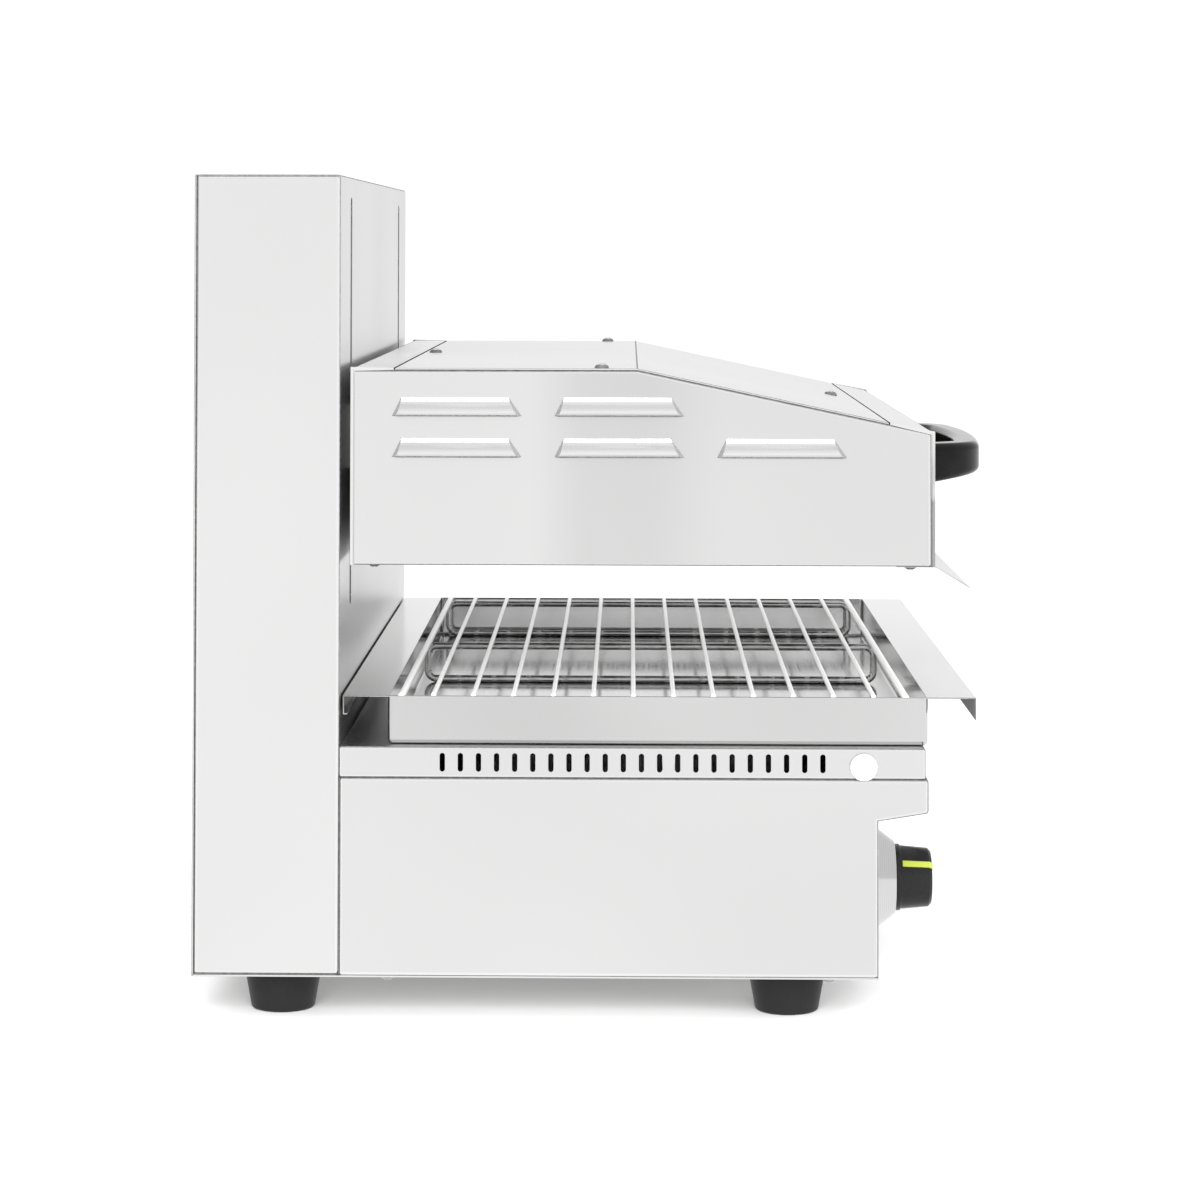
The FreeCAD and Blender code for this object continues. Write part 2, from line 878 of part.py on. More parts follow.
def bezel(name):
    """A hollow cone round the knob's spindle, wide at the panel."""
    body = new_body(name)
    wall = s.gauge
    turned(
        body,
        [
            (s.bezel_radius - wall, 0),
            (s.bezel_radius, 0),
            (s.bezel_radius, s.bezel_rim),
            (s.bezel_tip_radius, s.bezel_depth),
            (s.spindle_radius + s.hole_clearance, s.bezel_depth),
            (s.spindle_radius + s.hole_clearance, s.bezel_depth - wall),
            (s.bezel_tip_radius - wall, s.bezel_depth - wall),
            (s.bezel_radius - wall, s.bezel_rim),
        ],
    )
    return body


def knob_sides(extra):
    """The knob's outer corners from its back to the middle of its face, grown by extra."""
    tip = s.knob_length + extra
    return [
        (s.knob_skirt_radius + extra, 0),
        (s.knob_skirt_radius + extra, s.knob_skirt_length),
        (s.knob_radius + extra, s.knob_skirt_length),
        (s.knob_tip_radius + extra, tip - s.knob_edge),
        (s.knob_tip_radius + extra - s.knob_edge, tip),
        (0, tip),
    ]


def pointer_blank(name, inner, outer):
    """A thin skin of the knob's side and face, as wide as the pointer and on one side of it."""
    skin = new_body(name + "_skin")
    start = s.knob_skirt_length + s.pointer_start
    side_in = s.knob_radius + inner
    side_out = s.knob_radius + outer
    tip_in = s.knob_tip_radius + inner
    tip_out = s.knob_tip_radius + outer
    face_in = s.knob_length + inner
    face_out = s.knob_length + outer
    turned(
        skin,
        [
            (0, face_out),
            (0, face_in),
            (tip_in - s.knob_edge, face_in),
            (tip_in, face_in - s.knob_edge),
            (side_in, start),
            (side_out, start),
            (tip_out, face_out - s.knob_edge),
            (tip_out - s.knob_edge, face_out),
        ],
    )
    strip = document.addObject("Part::Box", name + "_strip")
    bind(strip, "Length", s.pointer_width)
    bind(strip, "Width", 2 * s.knob_skirt_radius)
    bind(strip, "Height", 2 * s.knob_length)
    bind(strip, ".Placement.Base.x", -s.pointer_width / 2)
    bind(strip, ".Placement.Base.y", s.knob_tip_radius / 4)
    common = document.addObject("Part::Common", name)
    common.Base = skin
    common.Tool = strip
    return common


def knob(name):
    """A tapered knob with a blind bore for its spindle and a groove for its pointer."""
    body = new_body(name + "_blank")
    turned(
        body,
        [
            (0, s.spindle_grip),
            (s.spindle_radius, s.spindle_grip),
            (s.spindle_radius, 0),
        ]
        + knob_sides(0),
    )
    return cut(name, body, pointer_blank(name + "_groove", -s.gauge, s.gauge))


regulator_face = base_front - s.gauge
regulator_back = regulator_face - s.regulator_boss - s.regulator_depth
for side, sign in (("left", -1), ("right", 1)):
    x = sign * knob_spread
    node(place(bezel(f"bezel_{side}"), x, base_front, knob_level, to_front), f"bezel_{side}")
    at_off = Rotation(Vector(0, 1, 0), -s.pointer_angle.number) * to_front
    new_knob = place(knob(f"knob_{side}"), x, knob_face, knob_level, at_off)
    node(new_knob, f"knob_{side}")
    pointer = pointer_blank(f"pointer_{side}", -s.gauge, s.pointer_height)
    node(place(pointer, x, knob_face, knob_level, at_off), f"pointer_{side}")
    spindle_start = regulator_face - s.regulator_boss - s.spindle_tail
    spindle = rod(
        f"spindle_{side}",
        s.spindle_radius,
        knob_face + s.spindle_grip - spindle_start,
        x,
        spindle_start,
        knob_level,
        to_front,
    )
    node(spindle, f"spindle_{side}")
    half = s.regulator_width / 2
    housing = block(
        f"Regulator_block_{side}",
        (x - half, x + half),
        (regulator_back, regulator_face - s.regulator_boss),
        (knob_level - half, knob_level + half),
    )
    boss = rod(
        f"Regulator_boss_{side}",
        2 * s.spindle_radius,
        s.regulator_boss,
        x,
        regulator_face - s.regulator_boss,
        knob_level,
        to_front,
    )
    bore = rod(
        f"Regulator_bore_{side}",
        s.spindle_radius + s.running_clearance,
        2 * s.regulator_depth,
        x,
        spindle_start - s.slip_gap,
        knob_level,
        to_front,
    )
    regulator = cut(f"regulator_{side}", fuse(f"Regulator_body_{side}", [housing, boss]), bore)
    node(regulator, f"regulator_{side}")
    lamp = new_body(f"pilot_lamp_{side}")
    turned(
        lamp,
        [
            (0, -s.lamp_tail),
            (s.lamp_radius, -s.lamp_tail),
            (s.lamp_radius, 0),
            (s.lamp_radius + s.lamp_flange, 0),
            (s.lamp_radius + s.lamp_flange, s.lamp_lens / 4),
            (s.lamp_radius, s.lamp_lens / 2),
            (s.lamp_radius / 2, s.lamp_lens),
            (0, s.lamp_lens),
        ],
    )
    node(place(lamp, sign * lamp_spread, base_front, knob_level, to_front), f"pilot_lamp_{side}")

terminal_block = block(
    "Terminal_body",
    (gland_spread - s.terminal_length, gland_spread),
    (s.column_depth + s.flange, s.column_depth + s.flange + s.terminal_depth),
    (floor_top, floor_top + s.terminal_height),
)
terminal_pitch = s.terminal_length / s.terminal_ways
terminal_wells = [
    rod(
        "Terminal_well",
        s.terminal_well_radius,
        s.terminal_height,
        gland_spread - terminal_pitch * (number + 0.5),
        s.column_depth + s.flange + s.terminal_depth / 2,
        floor_top + s.terminal_height / 2,
    )
    for number in range(int(s.terminal_ways.number))
]
node(cut("terminal_block", terminal_block, fuse("Terminal_wells", terminal_wells)), "terminal_block")

# Column: shell with two slots, rear cover, cable gland

column_front = forward(s.column_depth)
rear_flange_face = 2 * s.gauge
column = new_body("Column_blank")
column_plan = new_sketch(column, "XY_Plane", floor_top, "Plan")
rectangle(column_plan, (-half_width, half_width), (column_front, forward(s.gauge)))
pad(column, column_plan, column_top - floor_top)
column_hollow = new_sketch(column, "XY_Plane", floor_top, "Hollow")
rectangle(
    column_hollow,
    (-inner_half, inner_half),
    (column_front + s.gauge, forward(rear_flange_face)),
)
pocket(column, column_hollow, column_ceiling - floor_top, Reversed=True)
column_mouth = new_sketch(column, "XZ_Plane", -forward(rear_flange_face), "Between_flanges")
mouth_reach = inner_half - s.rear_flange
rectangle(column_mouth, (-mouth_reach, mouth_reach), (floor_top, column_ceiling - s.flange))
pocket(column, column_mouth, s.gauge)
slots = new_sketch(column, "XZ_Plane", -column_front, "Slots")
slot_top = column_top - s.slot_end
slot_bottom = arm_bottom - s.lift_down - s.slot_tail
slot_middle = (slot_bottom + slot_top) / 2
for side in (-1, 1):
    obround(
        slots,
        side * slot_spread,
        slot_middle,
        s.slot_width,
        slot_top - slot_bottom,
    )
pocket(column, slots, 2 * s.gauge, Midplane=True)
rear_rise = (column_ceiling - floor_top - 2 * s.rear_screw_end) / (s.rear_screw_rows - 1)
rear_screw_x = half_width - s.rear_screw_inset
rear_screws = [
    (side * rear_screw_x, 0, floor_top + s.rear_screw_end + rear_rise * row, to_back)
    for side in (-1, 1)
    for row in range(int(s.rear_screw_rows.number))
]
node(drilled("column_shell", column, screw_drill, rear_screws), "column_shell")
copies("casing_screws", screw_model, floor_screws + rear_screws)

cover = block("Cover_plate", (-half_width, half_width), (0, s.gauge), (s.foot_height, column_top))
gland_hole = rod(
    "Gland_hole",
    s.gland_neck_radius + s.hole_clearance,
    4 * s.gauge,
    gland_spread,
    2 * s.gauge,
    gland_level,
    to_back,
)
cover = cut("Cover_with_gland_hole", cover, gland_hole)
node(drilled("rear_cover", cover, screw_drill, rear_screws), "rear_cover")

gland = new_body("cable_gland")
turned(
    gland,
    [
        (s.gland_bore, -s.gauge - s.nut_height),
        (s.gland_radius, -s.gauge - s.nut_height),
        (s.gland_radius, -s.gauge),
        (s.gland_neck_radius, -s.gauge),
        (s.gland_neck_radius, 0),
        (s.gland_radius, 0),
        (s.gland_radius, s.gland_reach / 3),
        (s.gland_radius - s.gauge, s.gland_reach * 2 / 3),
        (s.gland_neck_radius, s.gland_reach),
        (s.gland_bore, s.gland_reach),
    ],
)
node(place(gland, gland_spread, 0, gland_level, to_back), "cable_gland")

# Pan with its rolled rims, and the welded rack that stands in it

pan_back = s.column_depth + s.pan_gap
pan_front = pan_back + s.pan_depth
pan_floor = deck_top + s.slip_gap / 2
pan_rim = pan_floor + s.pan_height
pan_half = half_width - s.pan_side_gap
rear_edge = pan_back - s.rear_rim
front_edge = pan_front + s.front_rim
wall = s.thin_gauge


def pan_form(name, inset, height):
    """The tray's form, drawn in by inset, with its upright and lower edges rounded."""
    body = new_body(name)
    plan = new_sketch(body, "XY_Plane", pan_floor + inset, "Plan")
    rectangle(
        plan,
        (-pan_half + inset, pan_half - inset),
        (forward(pan_front - inset), forward(pan_back + inset)),
    )
    pad(body, plan, height)
    top = (pan_floor + inset + height).number
    fillet(body, "Corners", s.pan_corner - inset, lambda edge: edge.BoundBox.ZMin < top - 1)
    return body


rims = new_body("Pan_rims")
side_profile(
    rims,
    [
        (pan_back + s.pan_corner, pan_rim - wall),
        (rear_edge + wall, pan_rim - wall),
        (rear_edge + wall, pan_rim - s.rear_lip + wall),
        (rear_edge + s.rim_hem, pan_rim - s.rear_lip + wall),
        (rear_edge + s.rim_hem, pan_rim - s.rear_lip),
        (rear_edge, pan_rim - s.rear_lip),
        (rear_edge, pan_rim),
        (front_edge, pan_rim),
        (front_edge, pan_rim - s.front_lip),
        (front_edge - wall, pan_rim - s.front_lip),
        (front_edge - wall, pan_rim - wall),
    ],
    2 * pan_half,
)
pan_shell = fuse("Pan_shell", [pan_form("Pan_outside", sized(0), s.pan_height), rims])
pan = cut("drip_pan", pan_shell, pan_form("Pan_inside", wall, 2 * s.pan_height))
node(pan, "drip_pan")

rack_back = pan_back + s.rack_rear_gap
rack_front = pan_front - s.rack_front_gap
loop_low = pan_floor + wall + s.loop_wire_radius
loop_high = loop_low + s.loop_height
wire_level = loop_high + s.loop_wire_radius + s.wire_radius - s.weld
rack_middle = (rack_back + rack_front) / 2
rack_half = pan_half - s.rack_side_gap
end_bars = (rack_back + s.end_bar_setback, rack_front - s.end_bar_setback)
first_wire = end_bars[0] + s.end_bar_pitch
wire_pitch = (end_bars[1] - s.end_bar_pitch - first_wire) / (s.wire_count - 1)

# an end bar rests on the loops' round corners
corner_reach = s.loop_corner + s.loop_wire_radius + s.end_bar_radius - s.weld
corner_offset = s.loop_corner - s.end_bar_setback
corner_rise = root(corner_reach * corner_reach - corner_offset * corner_offset)
bar_level = loop_high - s.loop_corner + corner_rise


def rack_loop(name, x):
    """A closed upright loop of wire with round corners, seen from the side."""
    body = new_body(name)
    r = s.loop_corner
    y_back, y_front = forward(rack_back), forward(rack_front)
    path = new_sketch(body, "YZ_Plane", x, "Path")
    outline(
        path,
        [
            (y_front + r, loop_low),
            (y_back - r, loop_low),
            (y_back, loop_low + r),
            (y_back, loop_high - r),
            (y_back - r, loop_high),
            (y_front + r, loop_high),
            (y_front, loop_high - r),
            (y_front, loop_low + r),
        ],
        {1: (r, 1), 3: (r, 1), 5: (r, 1), 7: (r, 1)},
    )
    section = new_sketch(body, "XZ_Plane", -forward(rack_middle), "Section")
    circle(section, x, loop_low, s.loop_wire_radius)
    pipe = body.newObject("PartDesign::AdditivePipe", "Wire")
    pipe.Profile = section
    pipe.Spine = path
    body.Tip = pipe
    return body


def cross_wire(name, radius, depth, level):
    return rod(name, radius, 2 * rack_half, -rack_half, depth, level, to_right)


cross_wires = []
for number in range(int(s.wire_count.number)):
    depth = first_wire + wire_pitch * number
    cross_wires.append(cross_wire("Rack_wire", s.wire_radius, depth, wire_level))
for depth in end_bars:
    cross_wires.append(cross_wire("Rack_end_bar", s.end_bar_radius, depth, bar_level))
wire_rack = group("wire_rack", cross_wires)

# the loops carry the cross wires in the hollows that welding leaves
loop_spread = rack_half - s.loop_inset
rack_loops = []
for x in (-loop_spread, sized(0), loop_spread):
    rack_loops.append(cut("Welded_loop", rack_loop("Rack_loop", x), wire_rack))
group("rack_loops", rack_loops)

# Hood casing: louvred sides, rear panel, top cover, front panel

slope_run = hood_front - hood_bend
slope_fall = hood_top - hood_front_top


def top_level(depth):
    """Height of the hood's top at a depth in front of the bend."""
    return hood_top - slope_fall * (depth - hood_bend) / slope_run


panel_back = hood_back + s.gauge
panel_front = hood_front - s.gauge
# the side panels reach up to the underside of the cover
side_outline = [
    (panel_back, hood_bottom),
    (panel_front, hood_bottom),
    (panel_front, top_level(panel_front) - s.gauge),
    (hood_bend, hood_top - s.gauge),
    (panel_back, hood_top - s.gauge),
]
side_hollow = [
    (panel_back, hood_bottom + s.gauge),
    (panel_front, hood_bottom + s.gauge),
    (panel_front, top_level(panel_front) - s.gauge - s.gauge),
    (hood_bend, hood_top - s.gauge - s.gauge),
    (panel_back, hood_top - s.gauge - s.gauge),
]

side_panel = new_body("Side_blank")
side_sketch = new_sketch(side_panel, "YZ_Plane", half_width, "Outline")
outline(side_sketch, [(forward(depth), z) for depth, z in side_outline])
pad(side_panel, side_sketch, s.flange, Reversed=True)
hollow_sketch = new_sketch(side_panel, "YZ_Plane", half_width - s.flange, "Hollow")
outline(hollow_sketch, [(forward(depth), z) for depth, z in side_hollow])
pocket(side_panel, hollow_sketch, s.flange - s.gauge, Reversed=True)

# a pressed louvre is a slice of a long barrel between two leaning ends, open below
louvre_ball = (s.louvre_height * s.louvre_height / s.louvre_bulge + s.louvre_bulge) / 2
inner_ball = louvre_ball - s.gauge
inner_offset = louvre_ball - s.louvre_bulge - s.gauge
inner_rise = root(inner_ball * inner_ball - inner_offset * inner_offset)


def louvre(name, face, ball, rise, inset):
    """A louvre's form, its lower rear corner at its own origin and its front end towards -Y.

    face is how far its flat side stands out from the panel, inset how far its ends are drawn in.
    """
    lip = face + s.louvre_bulge
    barrel = new_body(name + "_barrel")
    section = new_sketch(barrel, "XZ_Plane", 0, "Section")
    outline(section, [(face, 0), (lip, 0), (face, rise)], {1: (ball, 1)})
    pad(barrel, section, s.louvre_length)
    ends = new_body(name + "_ends")
    sketches = []
    for x, lean in ((face, inset), (lip, inset + s.louvre_end_slope)):
        sketch = new_sketch(ends, "YZ_Plane", x, "Trapezium")
        rear = -lean
        front = lean - s.louvre_length
        share = rise / s.louvre_height
        outline(
            sketch,
            [
                (front, 0),
                (rear, 0),
                (rear - s.louvre_rear_slant * share, rise),
                (front + s.louvre_front_slant * share, rise),
            ],
        )
        sketches.append(sketch)
    loft = ends.newObject("PartDesign::AdditiveLoft", "Leaning_ends")
    loft.Profile = sketches[0]
    loft.Sections = sketches[1:]
    loft.Ruled = True
    ends.Tip = loft
    common = document.addObject("Part::Common", name)
    common.Base = barrel
    common.Tool = ends
    return common


low_row = hood_bottom + s.louvre_low_row
first_louvre = hood_back + s.louvre_first
louvre_places = [
    (
        half_width,
        first_louvre + s.louvre_pitch * column_number,
        low_row + s.louvre_row_pitch * row_number,
        None,
    )
    for column_number, rows in enumerate((2, 2, 1))
    for row_number in range(rows)
]
louvre_model = louvre("Louvre_model", sized(0), louvre_ball, s.louvre_height, sized(0))
louvre_hollow = louvre("Louvre_hollow", -s.gauge, inner_ball, inner_rise, s.gauge)
pressed = fuse("Side_pressed", [side_panel] + repeated("Louvre_copy", louvre_model, louvre_places))
side_panel = drilled("Side_louvred", pressed, louvre_hollow, louvre_places)

# places that the hood's screws share with their holes
rear_seam = hood_back + s.rear_strip
front_seam = hood_front - s.front_strip
under_cover = hood_top - s.gauge
cover_tilt = Rotation(
    Vector(1, 0, 0), math.degrees(math.atan2(slope_fall.number, slope_run.number))
)
front_screw_depth = front_seam - s.cover_screw_front
side_screws = [
    (side * (half_width - s.side_screw_inset), hood_back + s.side_screw_depth, hood_top, None)
    for side in (-1, 1)
]
seam_screws = [
    (sized(0), rear_seam + s.cover_screw_rear, hood_top, None),
    (sized(0), front_screw_depth, top_level(front_screw_depth), cover_tilt),
]
under_screws = []
under_screw_spread = half_width - s.under_screw_side
for spread in (-under_screw_spread, sized(0), under_screw_spread):
    under_screws.append(
        (spread, hood_back + s.under_screw_inset, hood_bottom, upside_down)
    )
    under_screws.append(
        (
            spread,
            hood_front - s.under_screw_inset,
            hood_bottom - s.thin_gauge,
            upside_down,
        )
    )
handle_root = s.handle_length / 2 - s.handle_leg / 2
handle_middle = handle_level - s.handle_height / 2
handle_screws = [(side * handle_root, panel_front, handle_middle, to_back) for side in (-1, 1)]
every_hood_screw = side_screws + seam_screws + under_screws + handle_screws
copies("hood_screws", screw_model, every_hood_screw)
side_drilled = drilled("hood_side_right", side_panel, screw_drill, side_screws[1:])
node(side_drilled, "hood_side_right")
mirrored(side_drilled, "hood_side_left")

lift_bolt_rows = (arm_bottom + s.bolt_inset, arm_top - s.bolt_inset)
arm_foot_front = hood_back
arm_foot_back = hood_back - s.arm_foot_gauge
bolt_places = [
    (side * (slot_spread - s.arm_foot_width / 2), arm_foot_back, row, to_back)
    for side in (-1, 1)
    for row in lift_bolt_rows
]
bolt_drill = drill("Bolt_drill", s.bolt_radius + s.hole_clearance, s.bolt_length)

lower_flange_width = s.body_width - 2 * (s.flange + s.slip_gap)
rear_panel = new_body("Rear_panel_blank")
side_profile(
    rear_panel,
    [
        (hood_back, hood_bottom),
        (panel_back, hood_bottom),
        (panel_back, under_cover),
        (rear_seam - s.seam_gap, under_cover),
        (rear_seam - s.seam_gap, hood_top),
        (hood_back, hood_top),
    ],
    s.body_width,
)
side_profile(
    rear_panel,
    [
        (hood_back, hood_bottom),
        (hood_back + s.screw_flange, hood_bottom),
        (hood_back + s.screw_flange, hood_bottom + s.gauge),
        (hood_back, hood_bottom + s.gauge),
    ],
    lower_flange_width,
)
side_profile(
    rear_panel,
    [
        (rear_seam - s.flange, under_cover - s.gauge),
        (rear_seam + s.flange, under_cover - s.gauge),
        (rear_seam + s.flange, under_cover),
        (rear_seam - s.flange, under_cover),
    ],
    lower_flange_width,
)
rear_screws_here = under_screws[0::2] + seam_screws[:1]
rear_panel = drilled("Rear_panel_screwed", rear_panel, screw_drill, rear_screws_here)
node(drilled("hood_rear_panel", rear_panel, bolt_drill, bolt_places), "hood_rear_panel")

top_cover = new_body("Top_cover_blank")
side_profile(
    top_cover,
    [
        (rear_seam, under_cover),
        (hood_bend, under_cover),
        (front_seam, top_level(front_seam) - s.gauge),
        (front_seam, top_level(front_seam)),
        (hood_bend, hood_top),
        (rear_seam, hood_top),
    ],
    s.body_width,
)
top_cover = drilled("hood_top_cover", top_cover, screw_drill, side_screws + seam_screws)
node(top_cover, "hood_top_cover")

front_panel = new_body("Front_panel_blank")
front_start = front_seam + s.seam_gap
side_profile(
    front_panel,
    [
        (panel_front, hood_bottom),
        (hood_front, hood_bottom),
        (hood_front, hood_front_top),
        (front_start, top_level(front_start)),
        (front_start, top_level(front_start) - s.gauge),
        (panel_front, top_level(panel_front) - s.gauge),
    ],
    s.body_width,
)
side_profile(
    front_panel,
    [
        (hood_front, hood_bottom),
        (hood_front - s.screw_flange, hood_bottom),
        (hood_front - s.screw_flange, hood_bottom + s.gauge),
        (hood_front, hood_bottom + s.gauge),
    ],
    lower_flange_width,
)
side_profile(
    front_panel,
    [
        (front_seam - s.screw_flange, top_level(front_seam - s.screw_flange) - 2 * s.gauge),
        (front_seam + s.flange, top_level(front_seam + s.flange) - 2 * s.gauge),
        (front_seam + s.flange, top_level(front_seam + s.flange) - s.gauge),
        (front_seam - s.screw_flange, top_level(front_seam - s.screw_flange) - s.gauge),
    ],
    lower_flange_width,
)
front_screws_here = under_screws[1::2] + seam_screws[1:] + handle_screws
front_panel = drilled("hood_front_panel", front_panel, screw_drill, front_screws_here)
node(front_panel, "hood_front_panel")

deflector = new_body("Deflector_blank")
deflector_bend = hood_front + s.gauge
deflector_tip = deflector_bend + s.deflector_reach
deflector_under = hood_bottom - s.thin_gauge
side_profile(
    deflector,
    [
        (hood_front - s.deflector_flange, deflector_under),
        (deflector_bend, deflector_under),
        (deflector_tip, deflector_under - s.deflector_drop),
        (deflector_tip, hood_bottom - s.deflector_drop),
        (deflector_bend, hood_bottom),
        (hood_front - s.deflector_flange, hood_bottom),
    ],
    s.body_width - 2 * s.deflector_inset,
)
node(drilled("front_deflector", deflector, screw_drill, under_screws[1::2]), "front_deflector")

# Handle: a flat bow that thins from its feet to its grip, every edge rounded

half_length = s.handle_length / 2
outer_turn = half_length - s.handle_corner
inner_foot = half_length - s.handle_leg
inner_turn = outer_turn - s.handle_lean
bow_depth = handle_front - s.handle_bow
inner_bow = bow_depth - s.handle_bar


def bow_radius(half_chord):
    """Radius of the arc that rises by the handle's bow over twice half_chord."""
    return (half_chord * half_chord / s.handle_bow + s.handle_bow) / 2


handle_bow = new_body("Handle_blank")
bow_plan = new_sketch(handle_bow, "XY_Plane", handle_level - s.handle_height, "Plan")
outline(
    bow_plan,
    [
        (-half_length, forward(hood_front)),
        (-outer_turn, forward(bow_depth)),
        (outer_turn, forward(bow_depth)),
        (half_length, forward(hood_front)),
        (inner_foot, forward(hood_front)),
        (inner_turn, forward(inner_bow)),
        (-inner_turn, forward(inner_bow)),
        (-inner_foot, forward(hood_front)),
    ],
    {
        0: (s.handle_outer_radius, 1),
        1: (bow_radius(outer_turn), 1),
        2: (s.handle_outer_radius, 1),
        4: (s.handle_inner_radius, -1),
        5: (bow_radius(inner_turn), -1),
        6: (s.handle_inner_radius, -1),
    },
)
pad(handle_bow, bow_plan, s.handle_height)
handle_low = handle_level - s.handle_height
grip_rise = s.handle_height - s.handle_tip_height
side_profile(
    handle_bow,
    [
        (hood_front, handle_low),
        (handle_front + s.gauge, handle_low + grip_rise),
        (handle_front + s.gauge, handle_low - s.gauge),
        (hood_front, handle_low - s.gauge),
    ],
    s.body_width,
    pocket,
)
panel_y = forward(hood_front).number
fillet(
    handle_bow,
    "Rounded_edges",
    s.handle_round,
    lambda edge: edge.BoundBox.YMin < panel_y - 1 and edge.BoundBox.XLength > 5,
)
handle_bow = drilled("handle", handle_bow, screw_drill, handle_screws)
node(handle_bow, "handle")

# Reflector above the heaters, with a border that rests on the hood's folded edges

mouth_half = half_width - s.reflector_border
mouth_back = hood_back + s.reflector_border
mouth_front = hood_front - s.reflector_border
reflector_low = hood_bottom + s.gauge
reflector_top = reflector_low + s.reflector_height
tube_level = hood_bottom + s.tube_level


def tray_form(body, kind, inset, top):
    """Lofts the reflector's tray from its mouth to its roof, drawn in by inset."""
    sections = []
    for drawn_in, level in ((inset, reflector_low), (inset + s.reflector_slope, top)):
        sketch = new_sketch(body, "XY_Plane", level, "Tray_section")
        rectangle(
            sketch,
            (-mouth_half + drawn_in, mouth_half - drawn_in),
            (forward(mouth_front - drawn_in), forward(mouth_back + drawn_in)),
        )
        sections.append(sketch)
    loft = body.newObject(kind, "Tray")
    loft.Profile = sections[0]
    loft.Sections = sections[1:]
    loft.Ruled = True
    body.Tip = loft


reflector = new_body("Reflector_blank")
border = new_sketch(reflector, "XY_Plane", reflector_low, "Border")
border_gap = s.gauge + s.slip_gap
rectangle(
    border,
    (-half_width + border_gap, half_width - border_gap),
    (forward(hood_front - border_gap), forward(hood_back + border_gap)),
)
pad(reflector, border, wall)
tray_form(reflector, "PartDesign::AdditiveLoft", sized(0), reflector_top)
document.recompute()
tray_form(reflector, "PartDesign::SubtractiveLoft", wall, reflector_top - wall)
reflector = drilled("Reflector_screwed", reflector, screw_drill, under_screws)

# Heaters: one bent tube on each side, its cold ends carried in ceramic bushes

heater_middle = hood_back + s.hood_depth / 2
last_run = int(s.tube_runs.number) - 1
run_depths = [heater_middle + s.tube_pitch * (number - last_run / 2) for number in range(last_run + 1)]
bend_radius = s.tube_pitch / 2
inner_end = -(s.tube_centre_gap + bend_radius)
outer_end = -(half_width - s.tube_outer_gap - bend_radius)
cold_end = -(half_width - s.tube_end_gap)
run_corners = []
bends = {}
for number, depth in enumerate(run_depths):
    start = cold_end if number == 0 else (outer_end if number % 2 == 0 else inner_end)
    end = inner_end if number % 2 == 0 else outer_end
    if number == last_run:
        end = cold_end
    run_corners += [(start, forward(depth)), (end, forward(depth))]
    if number < last_run:
        bends[2 * number + 1] = (bend_radius, -1 if number % 2 == 0 else 1)

heater = new_body("heater_left")
heater_path = new_sketch(heater, "XY_Plane", tube_level, "Path")
outline(heater_path, run_corners, bends, closed=False, smooth=True)
heater_section = new_sketch(heater, "YZ_Plane", cold_end, "Section")
circle(heater_section, forward(run_depths[0]), tube_level, s.tube_radius)
heater_tube = heater.newObject("PartDesign::AdditivePipe", "Tube")
heater_tube.Profile = heater_section
heater_tube.Spine = heater_path
heater.Tip = heater_tube
document.recompute()
pins = new_sketch(heater, "YZ_Plane", cold_end, "Pins")
for depth in (run_depths[0], run_depths[-1]):
    circle(pins, forward(depth), tube_level, s.pin_radius)
pad(heater, pins, s.pin_length, Reversed=True)
node(heater, "heater_left")
mirrored(heater, "heater_right")

wall_inset = s.reflector_slope * (tube_level - reflector_low) / s.reflector_height
bush_middle = mouth_half - wall_inset
bush = new_body("Bush_model")
turned(
    bush,
    [
        (s.tube_radius + s.running_clearance, -s.bush_length / 2),
        (s.bush_radius, -s.bush_length / 2),
        (s.bush_radius, s.bush_length / 2),
        (s.tube_radius + s.running_clearance, s.bush_length / 2),
    ],
)
bush_places = [
    (side * bush_middle, depth, tube_level, to_right)
    for side in (-1, 1)
    for depth in (run_depths[0], run_depths[-1])
]
copies("heater_bushes", bush, bush_places)
bush_drill = drill("Bush_drill", s.bush_radius, s.bush_length)
node(drilled("reflector", reflector, bush_drill, bush_places), "reflector")

bar_top = tube_level - s.tube_radius
bar_back = mouth_back + s.reflector_slope + s.bar_end_gap
bar_front = mouth_front - s.reflector_slope - s.bar_end_gap
leg_top = reflector_top - wall


def heater_bar(x):
    """A strip under the tubes whose ends turn up to the reflector's roof."""
    body = new_body("Heater_bar")
    sketch = new_sketch(body, "YZ_Plane", x, "Strip")
    corners = [
        (bar_back, leg_top),
        (bar_back, bar_top - s.bar_gauge),
        (bar_front, bar_top - s.bar_gauge),
        (bar_front, leg_top),
        (bar_front - s.bar_gauge, leg_top),
        (bar_front - s.bar_gauge, bar_top),
        (bar_back + s.bar_gauge, bar_top),
        (bar_back + s.bar_gauge, leg_top),
    ]
    outline(sketch, [(forward(depth), z) for depth, z in corners])
    pad(body, sketch, s.bar_width, Midplane=True)
    return body


bar_places = [side * (s.bar_first + s.bar_pitch * n) for side in (-1, 1) for n in range(2)]
group("heater_bars", [heater_bar(x) for x in bar_places])

# Lift: rods, buffers and clamps in the column

rod_places = (-slot_spread, slot_spread)
guide_rods = [
    rod("Guide_rod", s.rod_radius, column_ceiling - floor_top, x, s.rod_depth, floor_top)
    for x in rod_places
]
group("guide_rods", guide_rods)


def ring(name, radius, bore, height):
    """A plain ring that stands on its own origin."""
    body = new_body(name)
    turned(body, [(bore, 0), (radius, 0), (radius, height), (bore, height)])
    return body


